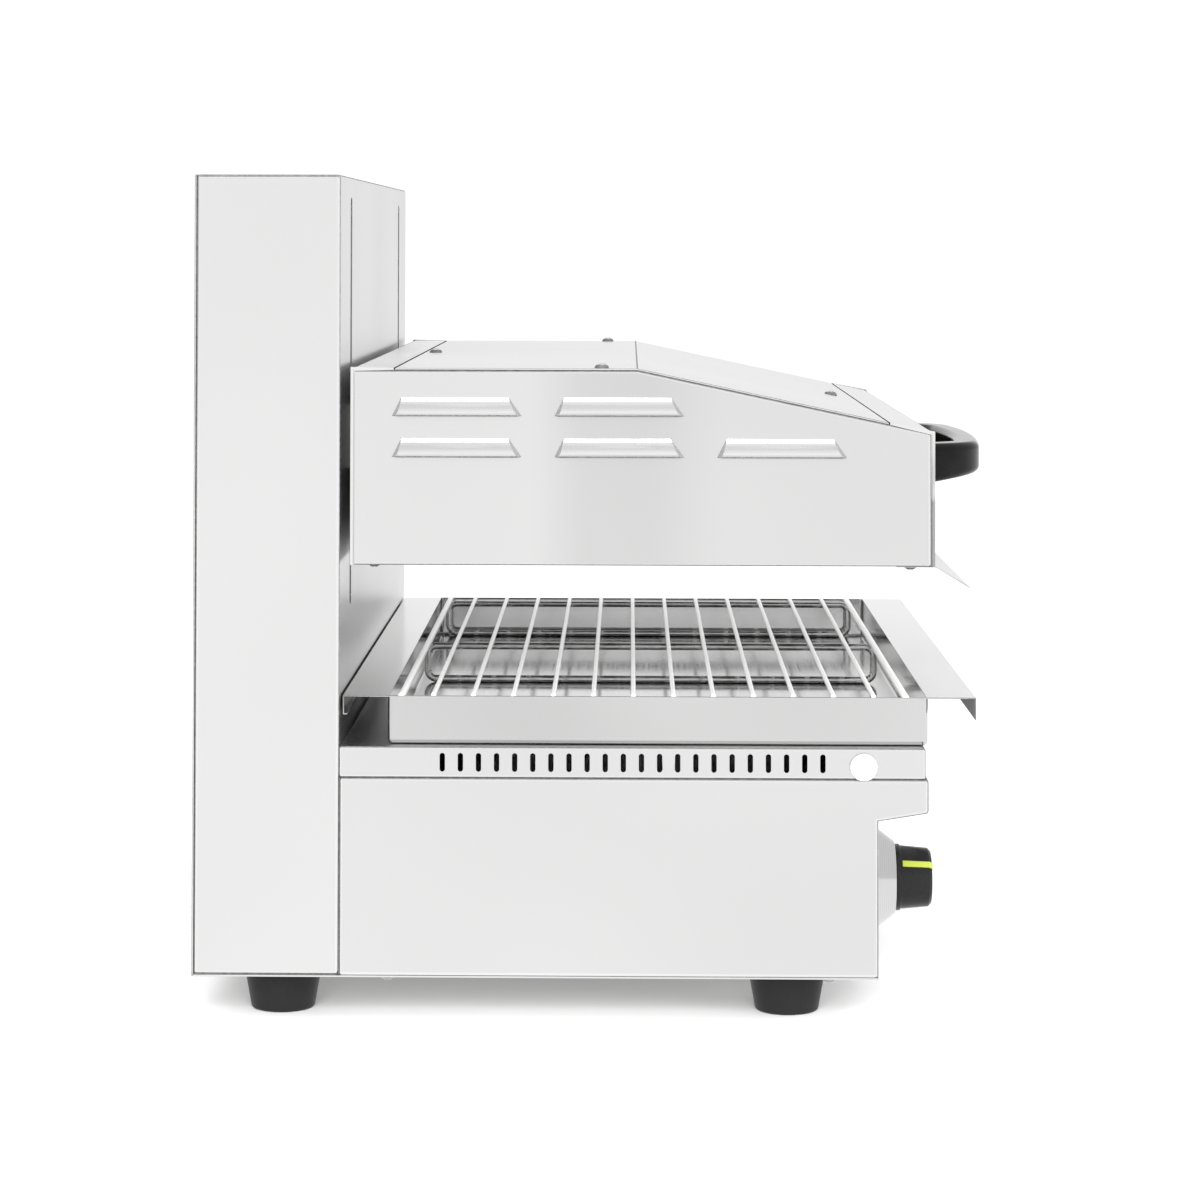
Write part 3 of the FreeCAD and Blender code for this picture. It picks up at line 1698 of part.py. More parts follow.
def square_block(name, x, depth, width, z, bore):
    """An upright square block with a round bore."""
    half = width / 2
    body = block(name + "_body", (x - half, x + half), (depth - half, depth + half), z)
    hole = rod(name + "_bore", bore, 2 * (sized(z[1]) - z[0]), x, depth, z[0] - (z[1] - z[0]) / 2)
    return cut(name, body, hole)


low_stop = block_bottom - s.lift_down - s.slip_gap
clamps = []
for x in rod_places:
    for low in (floor_top, high_clamp):
        z = (low, low + s.rod_clamp_height)
        clamps.append(
            square_block("Rod_clamp", x, s.rod_depth, s.rod_clamp_width, z, s.rod_radius)
        )
collar = ring("Stop_collar", s.buffer_radius, s.rod_radius, s.collar_height)
collar_level = low_stop - s.buffer_height - s.collar_height
collars = [(x, s.rod_depth, collar_level, None) for x in rod_places]
group("rod_clamps", clamps + repeated("Stop_collar_copy", collar, collars))

low_buffer = ring("Low_buffer", s.buffer_radius, s.rod_radius, s.buffer_height)
high_buffer = ring("High_buffer", s.buffer_radius, s.rod_radius, s.high_buffer_height)
low_buffers = [(x, s.rod_depth, low_stop - s.buffer_height, None) for x in rod_places]
high_buffers = [(x, s.rod_depth, high_stop, None) for x in rod_places]
buffers = repeated("Low_buffer_copy", low_buffer, low_buffers)
buffers += repeated("High_buffer_copy", high_buffer, high_buffers)
group("rubber_buffers", buffers)

# Carriage: two bushed blocks on the rods, a beam between them and an arm through each slot

bush_bore = s.rod_radius + s.running_clearance
block_bore = bush_bore + s.block_bush_wall
carriage_z = (block_bottom, block_top)
blocks = [
    square_block("Carriage_block", x, s.rod_depth, s.block_width, carriage_z, block_bore)
    for x in rod_places
]
group("carriage_blocks", blocks)
block_bush = ring("Block_bush", block_bore, bush_bore, s.block_bush_length)
block_bushes = [
    (x, s.rod_depth, z, None)
    for x in rod_places
    for z in (block_bottom, block_top - s.block_bush_length)
]
copies("guide_bushes", block_bush, block_bushes)

beam_back = s.rod_depth + s.block_width / 2
beam_front = beam_back + s.beam_gauge
beam_reach = slot_spread + s.beam_overhang
beam_low = block_top - s.beam_height
cable_reach = s.pulley_radius + s.cable_radius + s.slip_gap
front_strand = s.pulley_depth + cable_reach
rear_strand = s.pulley_depth - cable_reach
anchor_top = pulley_level - pulley_rim - lift_up - s.anchor_gap
anchor_low = anchor_top - s.anchor_width
carriage_parts = [
    block("Beam", (-beam_reach, beam_reach), (beam_back, beam_front), (beam_low, block_top))
]
for side in (-1, 1):
    anchor_x = side * s.pulley_spread
    half_anchor = s.anchor_width / 2
    sides = (anchor_x - half_anchor, anchor_x + half_anchor)
    carriage_parts.append(
        block("Anchor_tab", sides, (beam_back, beam_front), (anchor_low, beam_low + s.gauge))
    )
    anchor_back = front_strand - half_anchor
    carriage_parts.append(block("Anchor", sides, (anchor_back, beam_front), (anchor_low, anchor_top)))
    arm_x = side * slot_spread
    half_arm = s.arm_gauge / 2
    arm_z = (arm_bottom, arm_top)
    carriage_parts.append(
        block("Arm", (arm_x - half_arm, arm_x + half_arm), (beam_back, arm_foot_front), arm_z)
    )
    foot_x = (arm_x - side * s.arm_foot_width, arm_x + side * half_arm)[::side]
    carriage_parts.append(block("Arm_foot", foot_x, (arm_foot_back, arm_foot_front), arm_z))
carriage = fuse("Carriage_welded", carriage_parts)
node(drilled("carriage", carriage, bolt_drill, bolt_places), "carriage")


def arm_bolt(name):
    """A bolt through the arm's foot and the hood, with its nut inside the hood."""
    bolt = screw(name, s.bolt_radius, s.bolt_length, s.bolt_head_radius, s.bolt_head)
    nut_start = s.arm_foot_gauge + s.gauge
    nut_body = document.addObject("Part::Prism", name + "_nut_body")
    nut_body.Polygon = 6
    bind(nut_body, "Circumradius", s.nut_radius)
    bind(nut_body, "Height", s.nut_height)
    bind(nut_body, ".Placement.Base.z", -nut_start - s.nut_height)
    nut_bore = document.addObject("Part::Cylinder", name + "_nut_bore")
    bind(nut_bore, "Radius", s.bolt_radius)
    bind(nut_bore, "Height", 2 * s.bolt_length)
    bind(nut_bore, ".Placement.Base.z", -2 * s.bolt_length)
    pair = document.addObject("Part::Compound", name + "_pair")
    pair.Links = [bolt, cut(name + "_nut", nut_body, nut_bore)]
    return pair


copies("arm_bolts", arm_bolt("Arm_bolt"), bolt_places)

# Pulleys with their axles and brackets under the column's roof

cyclic = Rotation(Vector(1, 1, 1), 120)  # X to Y, Y to Z, Z to X
half_pulley = s.pulley_width / 2
groove_half = s.cable_radius + s.slip_gap
rim_half = half_pulley - s.gauge
pulley_bore = s.axle_radius + s.running_clearance
pulley_places = {"left": -s.pulley_spread, "right": s.pulley_spread}
for side, x in pulley_places.items():
    pulley = new_body(f"pulley_{side}")
    turned(
        pulley,
        [
            (pulley_bore, -half_pulley),
            (pulley_rim, -half_pulley),
            (pulley_rim, -rim_half),
            (s.pulley_radius, -groove_half),
            (s.pulley_radius, groove_half),
            (pulley_rim, rim_half),
            (pulley_rim, half_pulley),
            (pulley_bore, half_pulley),
        ],
    )
    node(place(pulley, x, s.pulley_depth, pulley_level, to_right), f"pulley_{side}")

bracket_half = half_pulley + s.cheek_gap + s.cheek_gauge
axle = screw(
    "Axle_model", s.axle_radius, 2 * bracket_half + s.cheek_gauge, pulley_bore + s.gauge, s.cheek_gauge
)
axle_places = [
    (x + bracket_half, s.pulley_depth, pulley_level, to_right) for x in pulley_places.values()
]
copies("pulley_axles", axle, axle_places)


def pulley_bracket(x):
    """Two round-nosed cheeks that hang from a plate on each side of a pulley."""
    half_cheek = s.cheek_width / 2
    depths = (s.pulley_depth - half_cheek, s.pulley_depth + half_cheek)
    plate_low = column_ceiling - s.cheek_gauge
    parts = [
        block("Plate", (x - bracket_half, x + bracket_half), depths, (plate_low, column_ceiling))
    ]
    for start in (x - bracket_half, x + bracket_half - s.cheek_gauge):
        cheek_x = (start, start + s.cheek_gauge)
        parts.append(block("Cheek", cheek_x, depths, (pulley_level, column_ceiling)))
        parts.append(
            rod(
                "Cheek_nose",
                half_cheek,
                s.cheek_gauge,
                start,
                s.pulley_depth,
                pulley_level,
                to_right,
            )
        )
    bore = rod(
        "Axle_bore",
        s.axle_radius,
        4 * bracket_half,
        x - 2 * bracket_half,
        s.pulley_depth,
        pulley_level,
        to_right,
    )
    return cut("Pulley_bracket", fuse("Bracket_body", parts), bore)


group("pulley_brackets", [pulley_bracket(x) for x in pulley_places.values()])

# Cables, in front from the carriage, over the pulleys and down behind to the counterweight

front_cables = []
rear_cables = []
wraps = []
for x in pulley_places.values():
    front_cables.append(
        rod(
            "Front_cable",
            s.cable_radius,
            pulley_level - anchor_top,
            x,
            front_strand,
            anchor_top,
        )
    )
    rear_cables.append(
        rod(
            "Rear_cable",
            s.cable_radius,
            pulley_level - weight_top,
            x,
            rear_strand,
            weight_top,
        )
    )
    wrap = document.addObject("Part::Torus", "Wrap")
    bind(wrap, "Radius1", cable_reach)
    bind(wrap, "Radius2", s.cable_radius)
    wrap.Angle3 = 180
    wraps.append(place(wrap, x, s.pulley_depth, pulley_level, cyclic))
group("cable_front_strands", front_cables)
group("cable_rear_strands", rear_cables)
group("cable_wraps", wraps)

# Counterweight, which slides between two channels on its shoes

half_weight = slot_spread - s.weight_end_gap
weight_low = weight_top - s.weight_height
weight_depths = (rear_strand - s.weight_depth / 2, rear_strand + s.weight_depth / 2)
weight_body = block(
    "Weight_body", (-half_weight, half_weight), weight_depths, (weight_low, weight_top)
)
weight = document.addObject("Part::Chamfer", "counterweight")
document.recompute()
weight.Base = weight_body
upright = [
    n
    for n, edge in enumerate(weight_body.Shape.Edges, start=1)
    if edge.BoundBox.ZLength > s.weight_height.number / 2
]
weight.Edges = [(n, s.weight_chamfer.number, s.weight_chamfer.number) for n in upright]
node(weight, "counterweight")

half_shoe = s.shoe_width / 2
shoe_depths = (rear_strand - half_shoe, rear_strand + half_shoe)
shoe_end = half_weight + s.shoe_reach
shoes = []
channels = []
for side in (-1, 1):
    for low in (weight_low, weight_top - s.shoe_height):
        shoe_x = (side * half_weight, side * shoe_end)[::side]
        shoes.append(block("Shoe", shoe_x, shoe_depths, (low, low + s.shoe_height)))
    web = shoe_end + s.slip_gap
    lip = half_weight + s.guide_lip_gap
    outside = block(
        "Channel_outside",
        (side * lip, side * (web + s.guide_gauge))[::side],
        (
            shoe_depths[0] - s.slip_gap - s.guide_gauge,
            shoe_depths[1] + s.slip_gap + s.guide_gauge,
        ),
        (floor_top, column_ceiling),
    )
    inside = block(
        "Channel_inside",
        (side * half_weight, side * web)[::side],
        (shoe_depths[0] - s.slip_gap, shoe_depths[1] + s.slip_gap),
        (floor_top - s.gauge, column_top),
    )
    channels.append(cut("Weight_channel", outside, inside))
group("weight_shoes", shoes)
group("weight_guides", channels)

# Each piece goes to its own file

document.recompute()
failed = [each.Name for each in document.Objects if {"Invalid", "Error"} & set(each.State)]
failed += [each.Label for each in nodes if each.Shape.isNull() or not each.Shape.isValid()]
if failed:
    raise RuntimeError("failed: " + ", ".join(failed))
os.makedirs("parts", exist_ok=True)
for each in nodes:
    each.Shape.exportStep(f"parts/{each.Label}.step")
    print(each.Label, len(each.Shape.Solids), "solids", f"{each.Shape.Volume:.0f} cubic mm")
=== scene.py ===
import json
import math

import bmesh
import bpy
from mathutils import Matrix, Vector
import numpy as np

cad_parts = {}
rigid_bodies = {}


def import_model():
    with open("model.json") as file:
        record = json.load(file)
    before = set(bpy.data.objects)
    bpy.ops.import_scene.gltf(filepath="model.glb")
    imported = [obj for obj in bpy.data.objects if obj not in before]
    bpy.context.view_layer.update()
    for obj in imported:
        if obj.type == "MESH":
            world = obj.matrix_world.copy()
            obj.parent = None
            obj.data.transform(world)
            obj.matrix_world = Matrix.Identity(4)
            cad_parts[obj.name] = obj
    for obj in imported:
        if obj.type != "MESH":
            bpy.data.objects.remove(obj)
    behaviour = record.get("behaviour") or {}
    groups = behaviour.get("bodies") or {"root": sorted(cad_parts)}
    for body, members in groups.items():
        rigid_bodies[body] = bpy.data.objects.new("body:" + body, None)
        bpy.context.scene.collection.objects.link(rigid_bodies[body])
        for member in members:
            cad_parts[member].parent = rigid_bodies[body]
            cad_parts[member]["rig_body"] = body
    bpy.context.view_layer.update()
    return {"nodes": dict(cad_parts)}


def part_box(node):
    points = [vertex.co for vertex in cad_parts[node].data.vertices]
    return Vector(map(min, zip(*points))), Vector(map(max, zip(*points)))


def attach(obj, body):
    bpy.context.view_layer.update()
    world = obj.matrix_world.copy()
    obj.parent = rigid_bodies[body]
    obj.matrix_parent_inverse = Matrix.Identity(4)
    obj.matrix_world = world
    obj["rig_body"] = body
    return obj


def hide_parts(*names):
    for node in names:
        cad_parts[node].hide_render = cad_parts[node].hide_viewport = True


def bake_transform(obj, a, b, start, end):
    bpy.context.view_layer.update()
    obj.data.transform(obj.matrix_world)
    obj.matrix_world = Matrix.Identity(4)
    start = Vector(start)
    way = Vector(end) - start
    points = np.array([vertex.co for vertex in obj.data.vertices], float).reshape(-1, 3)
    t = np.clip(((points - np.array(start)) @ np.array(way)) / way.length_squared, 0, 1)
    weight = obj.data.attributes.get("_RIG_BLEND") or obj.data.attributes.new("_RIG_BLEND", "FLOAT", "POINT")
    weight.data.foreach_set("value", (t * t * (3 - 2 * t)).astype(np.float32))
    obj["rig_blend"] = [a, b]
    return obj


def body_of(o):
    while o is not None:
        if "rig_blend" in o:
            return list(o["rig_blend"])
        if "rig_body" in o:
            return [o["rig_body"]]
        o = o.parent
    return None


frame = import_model()
nodes = frame["nodes"]
mm = 0.001
# each CAD mesh comes with its slot's name on its material
print("frame loaded,", len(nodes), "nodes")


# selection, as every operator acts on all that is selected

def clearSelection():
    if bpy.context.object and bpy.context.object.mode != "OBJECT":
        bpy.ops.object.mode_set(mode="OBJECT")
    bpy.ops.object.select_all(action="DESELECT")


def pick(piece):
    clearSelection()
    piece.select_set(True)
    bpy.context.view_layer.objects.active = piece


def applyModifiers(piece):
    pick(piece)
    for modifier in list(piece.modifiers):
        bpy.ops.object.modifier_apply(modifier=modifier.name)


# node materials: each reads Object coordinates, so a pattern stays on its piece

def newMaterial(name, colour, metallic, roughness, **sockets):
    material = bpy.data.materials.new(name)
    material.use_nodes = True
    shader = material.node_tree.nodes["Principled BSDF"]
    shader.inputs["Base Color"].default_value = (*colour, 1)
    shader.inputs["Metallic"].default_value = metallic
    shader.inputs["Roughness"].default_value = roughness
    for socket, value in sockets.items():
        shader.inputs[socket.replace("_", " ")].default_value = value
    material.diffuse_color = (*colour, 1)
    return material


def addNode(material, kind, **values):
    made = material.node_tree.nodes.new(kind)
    for name, value in values.items():
        if name in made.inputs:
            made.inputs[name].default_value = value
        else:
            setattr(made, name, value)
    return made


def connect(material, *chain):
    # chain is (node, output) to (node, input) pairs
    for fromNode, output, toNode, target in chain:
        material.node_tree.links.new(fromNode.outputs[output], toNode.inputs[target])


def stretchedNoise(material, stretch, detail):
    place = addNode(material, "ShaderNodeTexCoord")
    mapping = addNode(material, "ShaderNodeMapping", Scale=stretch)
    noise = addNode(material, "ShaderNodeTexNoise", Scale=1.0, Detail=detail)
    connect(material, (place, "Object", mapping, "Vector"), (mapping, "Vector", noise, "Vector"))
    return noise


def rangeOf(material, source, low, high):
    # turns a noise, which seldom leaves 0.3 to 0.7, into a value between low and high
    limits = {"From Min": 0.3, "From Max": 0.7, "To Min": low, "To Max": high}
    ramp = addNode(material, "ShaderNodeMapRange", **limits)
    connect(material, (source, "Fac", ramp, "Value"))
    return ramp


def tintBy(material, source, colourLow, colourHigh):
    mix = addNode(material, "ShaderNodeMix", data_type="RGBA")
    mix.inputs[6].default_value = (*colourLow, 1)
    mix.inputs[7].default_value = (*colourHigh, 1)
    connect(material, (source, 0, mix, 0))
    material.node_tree.links.new(
        mix.outputs[2], material.node_tree.nodes["Principled BSDF"].inputs["Base Color"]
    )


def bumpBy(material, source, height):
    bump = addNode(material, "ShaderNodeBump", Strength=1.0, Distance=height)
    shader = material.node_tree.nodes["Principled BSDF"]
    connect(material, (source, "Fac", bump, "Height"), (bump, "Normal", shader, "Normal"))


def roughnessBy(material, source, low, high):
    ramp = rangeOf(material, source, low, high)
    shader = material.node_tree.nodes["Principled BSDF"]
    connect(material, (ramp, "Result", shader, "Roughness"))


steelLook = {
    "grainPitch": 2600,  # grain lines per metre, across
    "grainRun": 6,  # and along
    "cloudPitch": 4.2,
    "colourLow": (0.83, 0.83, 0.828),
    "colourHigh": (0.89, 0.89, 0.888),
    "grainHeight": 0.0002 * mm,
    "streak": 0.35,  # how far its highlights run across the grain
}


def brushedSteel(name, along, roughness=(0.28, 0.31), colours=None):
    # satin sheet: fine grain along one axis, with soft broad changes of tone
    look = steelLook
    low, high = colours or (look["colourLow"], look["colourHigh"])
    material = newMaterial(name, high, 1.0, sum(roughness) / 2, Anisotropic=look["streak"])
    stretch = [look["grainPitch"]] * 3
    stretch[along] = look["grainRun"]
    grain = stretchedNoise(material, stretch, detail=3.0)
    clouds = stretchedNoise(material, (look["cloudPitch"],) * 3, detail=1.0)
    tintBy(material, rangeOf(material, clouds, 0.0, 1.0), low, high)
    roughnessBy(material, grain, *roughness)
    bumpBy(material, grain, look["grainHeight"])
    return material


def mottled(name, colourLow, colourHigh, metallic, roughness, pitch, height, **sockets):
    # a plain finish with a fine mottle in its tone, gloss and surface
    material = newMaterial(name, colourHigh, metallic, sum(roughness) / 2, **sockets)
    mottle = stretchedNoise(material, (pitch,) * 3, detail=3.0)
    tintBy(material, rangeOf(material, mottle, 0.0, 1.0), colourLow, colourHigh)
    roughnessBy(material, mottle, *roughness)
    bumpBy(material, mottle, height)
    return material


bezelLook = {
    "colours": ((0.73, 0.73, 0.73), (0.78, 0.78, 0.78)),
    "roughness": (0.10, 0.2),
    "ringPitch": 300,  # rings per metre
    "ringHeight": 0.0004 * mm,
    "streak": 0.3,
}


def turnedMetal(name, centre, colours, roughness, ringPitch, ringHeight, streak):
    # fine rings round a lengthwise axis through centre
    material = newMaterial(name, colours[1], 1.0, sum(roughness) / 2, Anisotropic=streak)
    place = addNode(material, "ShaderNodeTexCoord")
    mapping = addNode(material, "ShaderNodeMapping", Location=[-each for each in centre])
    rings = addNode(material, "ShaderNodeTexWave", Scale=ringPitch, Distortion=1.0)
    rings.wave_type = "RINGS"
    rings.rings_direction = "Y"
    rings.inputs["Detail"].default_value = 2.0
    rings.inputs["Detail Scale"].default_value = 3.0
    connect(material, (place, "Object", mapping, "Vector"), (mapping, "Vector", rings, "Vector"))
    tintBy(material, rangeOf(material, rings, 0.0, 1.0), *colours)
    roughnessBy(material, rings, *roughness)
    bumpBy(material, rings, ringHeight)
    return material


def shadeAlong(material, axis, stops):
    # multiplies the colour by a soft gradient along an axis; stops are (place, value)
    tree = material.node_tree
    place = addNode(material, "ShaderNodeTexCoord")
    split = addNode(material, "ShaderNodeSeparateXYZ")
    low, high = stops[0][0], stops[-1][0]
    span = addNode(
        material, "ShaderNodeMapRange", **{"From Min": low, "From Max": high, "To Min": 0.0, "To Max": 1.0}
    )
    ramp = addNode(material, "ShaderNodeValToRGB")
    ramp.color_ramp.interpolation = "EASE"
    points = ramp.color_ramp.elements
    while len(points) < len(stops):
        points.new(0.5)
    for point, (at, value) in zip(points, stops):
        point.position = (at - low) / (high - low)
        point.color = (value, value, value, 1)
    mix = addNode(material, "ShaderNodeMix", data_type="RGBA", blend_type="MULTIPLY")
    mix.inputs[0].default_value = 1.0
    shader = tree.nodes["Principled BSDF"]
    before = shader.inputs["Base Color"].links[0].from_socket
    tree.links.new(before, mix.inputs[6])
    connect(material, (place, "Object", split, 0), (split, axis, span, "Value"), (span, "Result", ramp, 0))
    tree.links.new(ramp.outputs["Color"], mix.inputs[7])
    tree.links.new(mix.outputs[2], shader.inputs["Base Color"])


# lighter than the other steels: painted light on the column
steelUp = brushedSteel(
    "brushedSteelUpright", 2, colours=((0.87, 0.87, 0.868), (0.92, 0.92, 0.918))
)
steelDeep = brushedSteel("brushedSteelFrontToBack", 1)
steelWide = brushedSteel("brushedSteelSideToSide", 0)
# a lighter steel for the hood's top cover and its front and rear panels: painted light
coverSteelLit = brushedSteel(
    "brushedSteelCoverPaintedLight", 0, colours=((0.93, 0.93, 0.928), (0.98, 0.98, 0.978))
)
hoodSteel = brushedSteel(
    "brushedSteelHood", 1, colours=((0.85, 0.85, 0.848), (0.90, 0.90, 0.898))
)
# painted shade from the hood's front to its back: the duller band that the photo shows
hoodShadeBand = ((-0.210, 0.965), (-0.090, 0.95), (-0.030, 0.86), (0.0, 0.87), (0.045, 1.0), (0.150, 1.0))
shadeAlong(hoodSteel, 1, hoodShadeBand)
# painted shade: the round faces of the bends are painted dark
bendShade = mottled(
    "bendPaintedShade", (0.10, 0.10, 0.10), (0.16, 0.16, 0.16), 0.1, (0.4, 0.5), 300, 0.002 * mm,
    Specular_IOR_Level=0.15,
)
# painted highlight: the parts of the bends that face a side, and the screws' tops
bendHighlight = brushedSteel("bendPaintedHighlight", 1, (0.16, 0.24), ((0.93, 0.93, 0.93), (0.99, 0.99, 0.99)))
# painted shade: the dark lines along edges and the dark of shaded spots
paintedShadeSteel = mottled(
    "paintedShadeSteel", (0.08, 0.08, 0.08), (0.14, 0.14, 0.14), 0.1, (0.4, 0.5), 600, 0.002 * mm,
    Specular_IOR_Level=0.15,
)
paintedBendsAndEdges = (bendShade, paintedShadeSteel, bendHighlight)
brightSheet = brushedSteel("brightSheet", 0, (0.08, 0.15), ((0.67, 0.67, 0.668), (0.82, 0.82, 0.818)))
# painted light: a lighter steel for the pan's top rims
rimSheetPaintedLight = brushedSteel("rimSheetPaintedLight", 1, (0.16, 0.24), ((0.95, 0.95, 0.948), (0.99, 0.99, 0.988)))
# painted light: a lighter steel for the deflector and the louvres' faces
paintedLightSheet = brushedSteel("paintedLightSheet", 0, (0.2, 0.3), ((0.94, 0.94, 0.94), (0.98, 0.98, 0.98)))
# painted light: the rack's wires glow a little to look brightly lit
glowingWire = mottled(
    "glowingWire", (0.92, 0.92, 0.91), (0.98, 0.98, 0.97), 0.2, (0.16, 0.26), 400, 0.002 * mm,
    Emission_Color=(1, 1, 1, 1), Emission_Strength=0.14,
)
loopWire = mottled("loopWire", (0.60, 0.60, 0.60), (0.72, 0.72, 0.72), 1.0, (0.05, 0.12), 300, 0.002 * mm)
zincPlate = mottled(
    "zincPlate", (0.38, 0.38, 0.37), (0.52, 0.52, 0.51), 1.0, (0.14, 0.28), 900, 0.004 * mm
)
blackSteel = mottled(
    "blackenedSteel", (0.03, 0.03, 0.03), (0.07, 0.07, 0.07), 0.8, (0.35, 0.5), 700, 0.005 * mm
)
plainSteel = mottled(
    "plainSteel", (0.36, 0.36, 0.35), (0.50, 0.50, 0.49), 1.0, (0.3, 0.45), 300, 0.006 * mm
)
groundSteel = mottled(
    "groundSteel", (0.62, 0.62, 0.62), (0.72, 0.72, 0.72), 1.0, (0.08, 0.16), 500, 0.002 * mm
)
milledAlloy = brushedSteel("milledAlloy", 0, (0.3, 0.42), ((0.52, 0.52, 0.53), (0.62, 0.62, 0.63)))
sinteredBronze = mottled(
    "sinteredBronze", (0.42, 0.27, 0.12), (0.56, 0.38, 0.18), 1.0, (0.35, 0.5), 2500, 0.01 * mm
)
heaterSheath = mottled(
    "heaterSheath", (0.16, 0.155, 0.15), (0.30, 0.29, 0.27), 0.9, (0.38, 0.55), 220, 0.01 * mm
)
castIron = mottled(
    "castIron", (0.05, 0.05, 0.05), (0.10, 0.10, 0.10), 0.3, (0.6, 0.8), 900, 0.06 * mm
)
glossPhenolic = mottled(
    "glossPhenolic", (0.003, 0.003, 0.003), (0.006, 0.006, 0.006), 0.0, (0.07, 0.11), 60, 0.0,
    Specular_IOR_Level=0.17,
)
satinPlastic = mottled(
    "satinPlastic", (0.006, 0.006, 0.006), (0.012, 0.012, 0.012), 0.0, (0.12, 0.2), 1800, 0.002 * mm,
    Specular_IOR_Level=0.28,
)
footRubber = mottled(
    "footRubber", (0.008, 0.008, 0.008), (0.014, 0.014, 0.014), 0.0, (0.4, 0.55), 1500, 0.02 * mm,
    Specular_IOR_Level=0.22,
)
whitePlastic = mottled(
    "whitePlastic", (0.56, 0.56, 0.555), (0.62, 0.62, 0.615), 0.0, (0.25, 0.4), 900, 0.005 * mm
)
creamPlastic = mottled(
    "creamPlastic", (0.68, 0.66, 0.58), (0.78, 0.76, 0.68), 0.0, (0.35, 0.5), 900, 0.01 * mm
)
greyPlastic = mottled(
    "greyPlastic", (0.09, 0.09, 0.095), (0.15, 0.15, 0.155), 0.0, (0.35, 0.5), 900, 0.01 * mm
)
pointerInlay = mottled(
    "pointerInlay", (0.28, 0.33, 0.035), (0.32, 0.37, 0.05), 0.0, (0.35, 0.5), 1500, 0.004 * mm
)
glazedCeramic = mottled(
    "glazedCeramic", (0.74, 0.72, 0.66), (0.84, 0.82, 0.77), 0.0, (0.15, 0.3), 500, 0.01 * mm
)
louvreShade = mottled(
    "louvreShade", (0.34, 0.34, 0.34), (0.42, 0.42, 0.42), 0.6, (0.3, 0.4), 600, 0.002 * mm,
    Specular_IOR_Level=0.3,
)
# painted highlight for the louvres' crests
louvreCrestHighlight = mottled(
    "louvreCrestHighlight", (0.60, 0.60, 0.60), (0.66, 0.66, 0.66), 0.2, (0.25, 0.35), 600, 0.002 * mm
)
# painted shade round the vent plugs
plugRimShade = mottled("plugRimShade", (0.28, 0.28, 0.28), (0.36, 0.36, 0.36), 0.0, (0.3, 0.4), 900, 0.002 * mm)
lampAmber = mottled(
    "lampAmber", (0.75, 0.22, 0.02), (0.90, 0.34, 0.04), 0.0, (0.05, 0.12), 300, 0.004 * mm,
    Transmission_Weight=0.3,
)
print("materials made")


# CAD nodes that keep their mesh and get a finish

def finish(material, *names):
    for name in names:
        nodes[name].data.materials.clear()
        nodes[name].data.materials.append(material)


finish(milledAlloy, "carriage_blocks", "rod_clamps")
finish(sinteredBronze, "guide_bushes")
finish(groundSteel, "guide_rods", "pulley_axles", "spindle_left", "spindle_right")
finish(plainSteel, "carriage", "pulley_brackets", "weight_guides", "heater_bars")
finish(plainSteel, "cable_front_strands", "cable_rear_strands", "cable_wraps")
finish(castIron, "counterweight")
finish(creamPlastic, "weight_shoes", "terminal_block")
finish(greyPlastic, "pulley_left", "pulley_right", "regulator_left", "regulator_right")
finish(footRubber, "rubber_buffers")
finish(glazedCeramic, "heater_bushes")
finish(heaterSheath, "heater_left", "heater_right")


# CAD nodes whose edges are rounded on a copy of their own mesh

dressing = {
    "mergeWithin": 0.01 * mm,
    "flatWithin": 0.5,  # degrees between triangles that are joined into one face
    "bendSegments": 6,
    "bendDepth": 2.2,  # of the faces beside a bend, in its radii
    "bendLength": 8 * mm,
    "bendAngle": 8,  # degrees
    "bendOffPlane": 0.05 * mm,
    "edgeAngle": 30,  # degrees
    "smoothAngle": 28,  # degrees
}


def facesDepth(edge, face):
    # how far the face reaches from the edge's line
    start = edge.verts[0].co
    along = (edge.verts[1].co - start).normalized()
    return max(((v.co - start) - (v.co - start).dot(along) * along).length for v in face.verts)


def isBend(edge, planes, least):
    # a long convex edge between two broad faces, on one of the piece's outer planes
    if len(edge.link_faces) != 2 or edge.calc_length() < dressing["bendLength"]:
        return False
    if not edge.is_convex or edge.calc_face_angle(0) < math.radians(dressing["bendAngle"]):
        return False
    middle = (edge.verts[0].co + edge.verts[1].co) / 2
    if not any(abs(middle[axis] - level) < dressing["bendOffPlane"] for axis, level in planes):
        return False
    return all(facesDepth(edge, face) > least for face in edge.link_faces)


def weightLong(mesh, least):
    # marks the sharp edges that are long enough to be rounded in full
    bm = bmesh.new()
    bm.from_mesh(mesh)
    weight = bm.edges.layers.float.new("bevel_weight_edge")
    for each in bm.edges:
        sharp = (
            len(each.link_faces) == 2
            and each.is_convex
            and each.calc_face_angle(0) > math.radians(dressing["edgeAngle"])
        )
        each[weight] = 1.0 if sharp and each.calc_length() > least * mm else 0.0
    bm.to_mesh(mesh)
    bm.free()


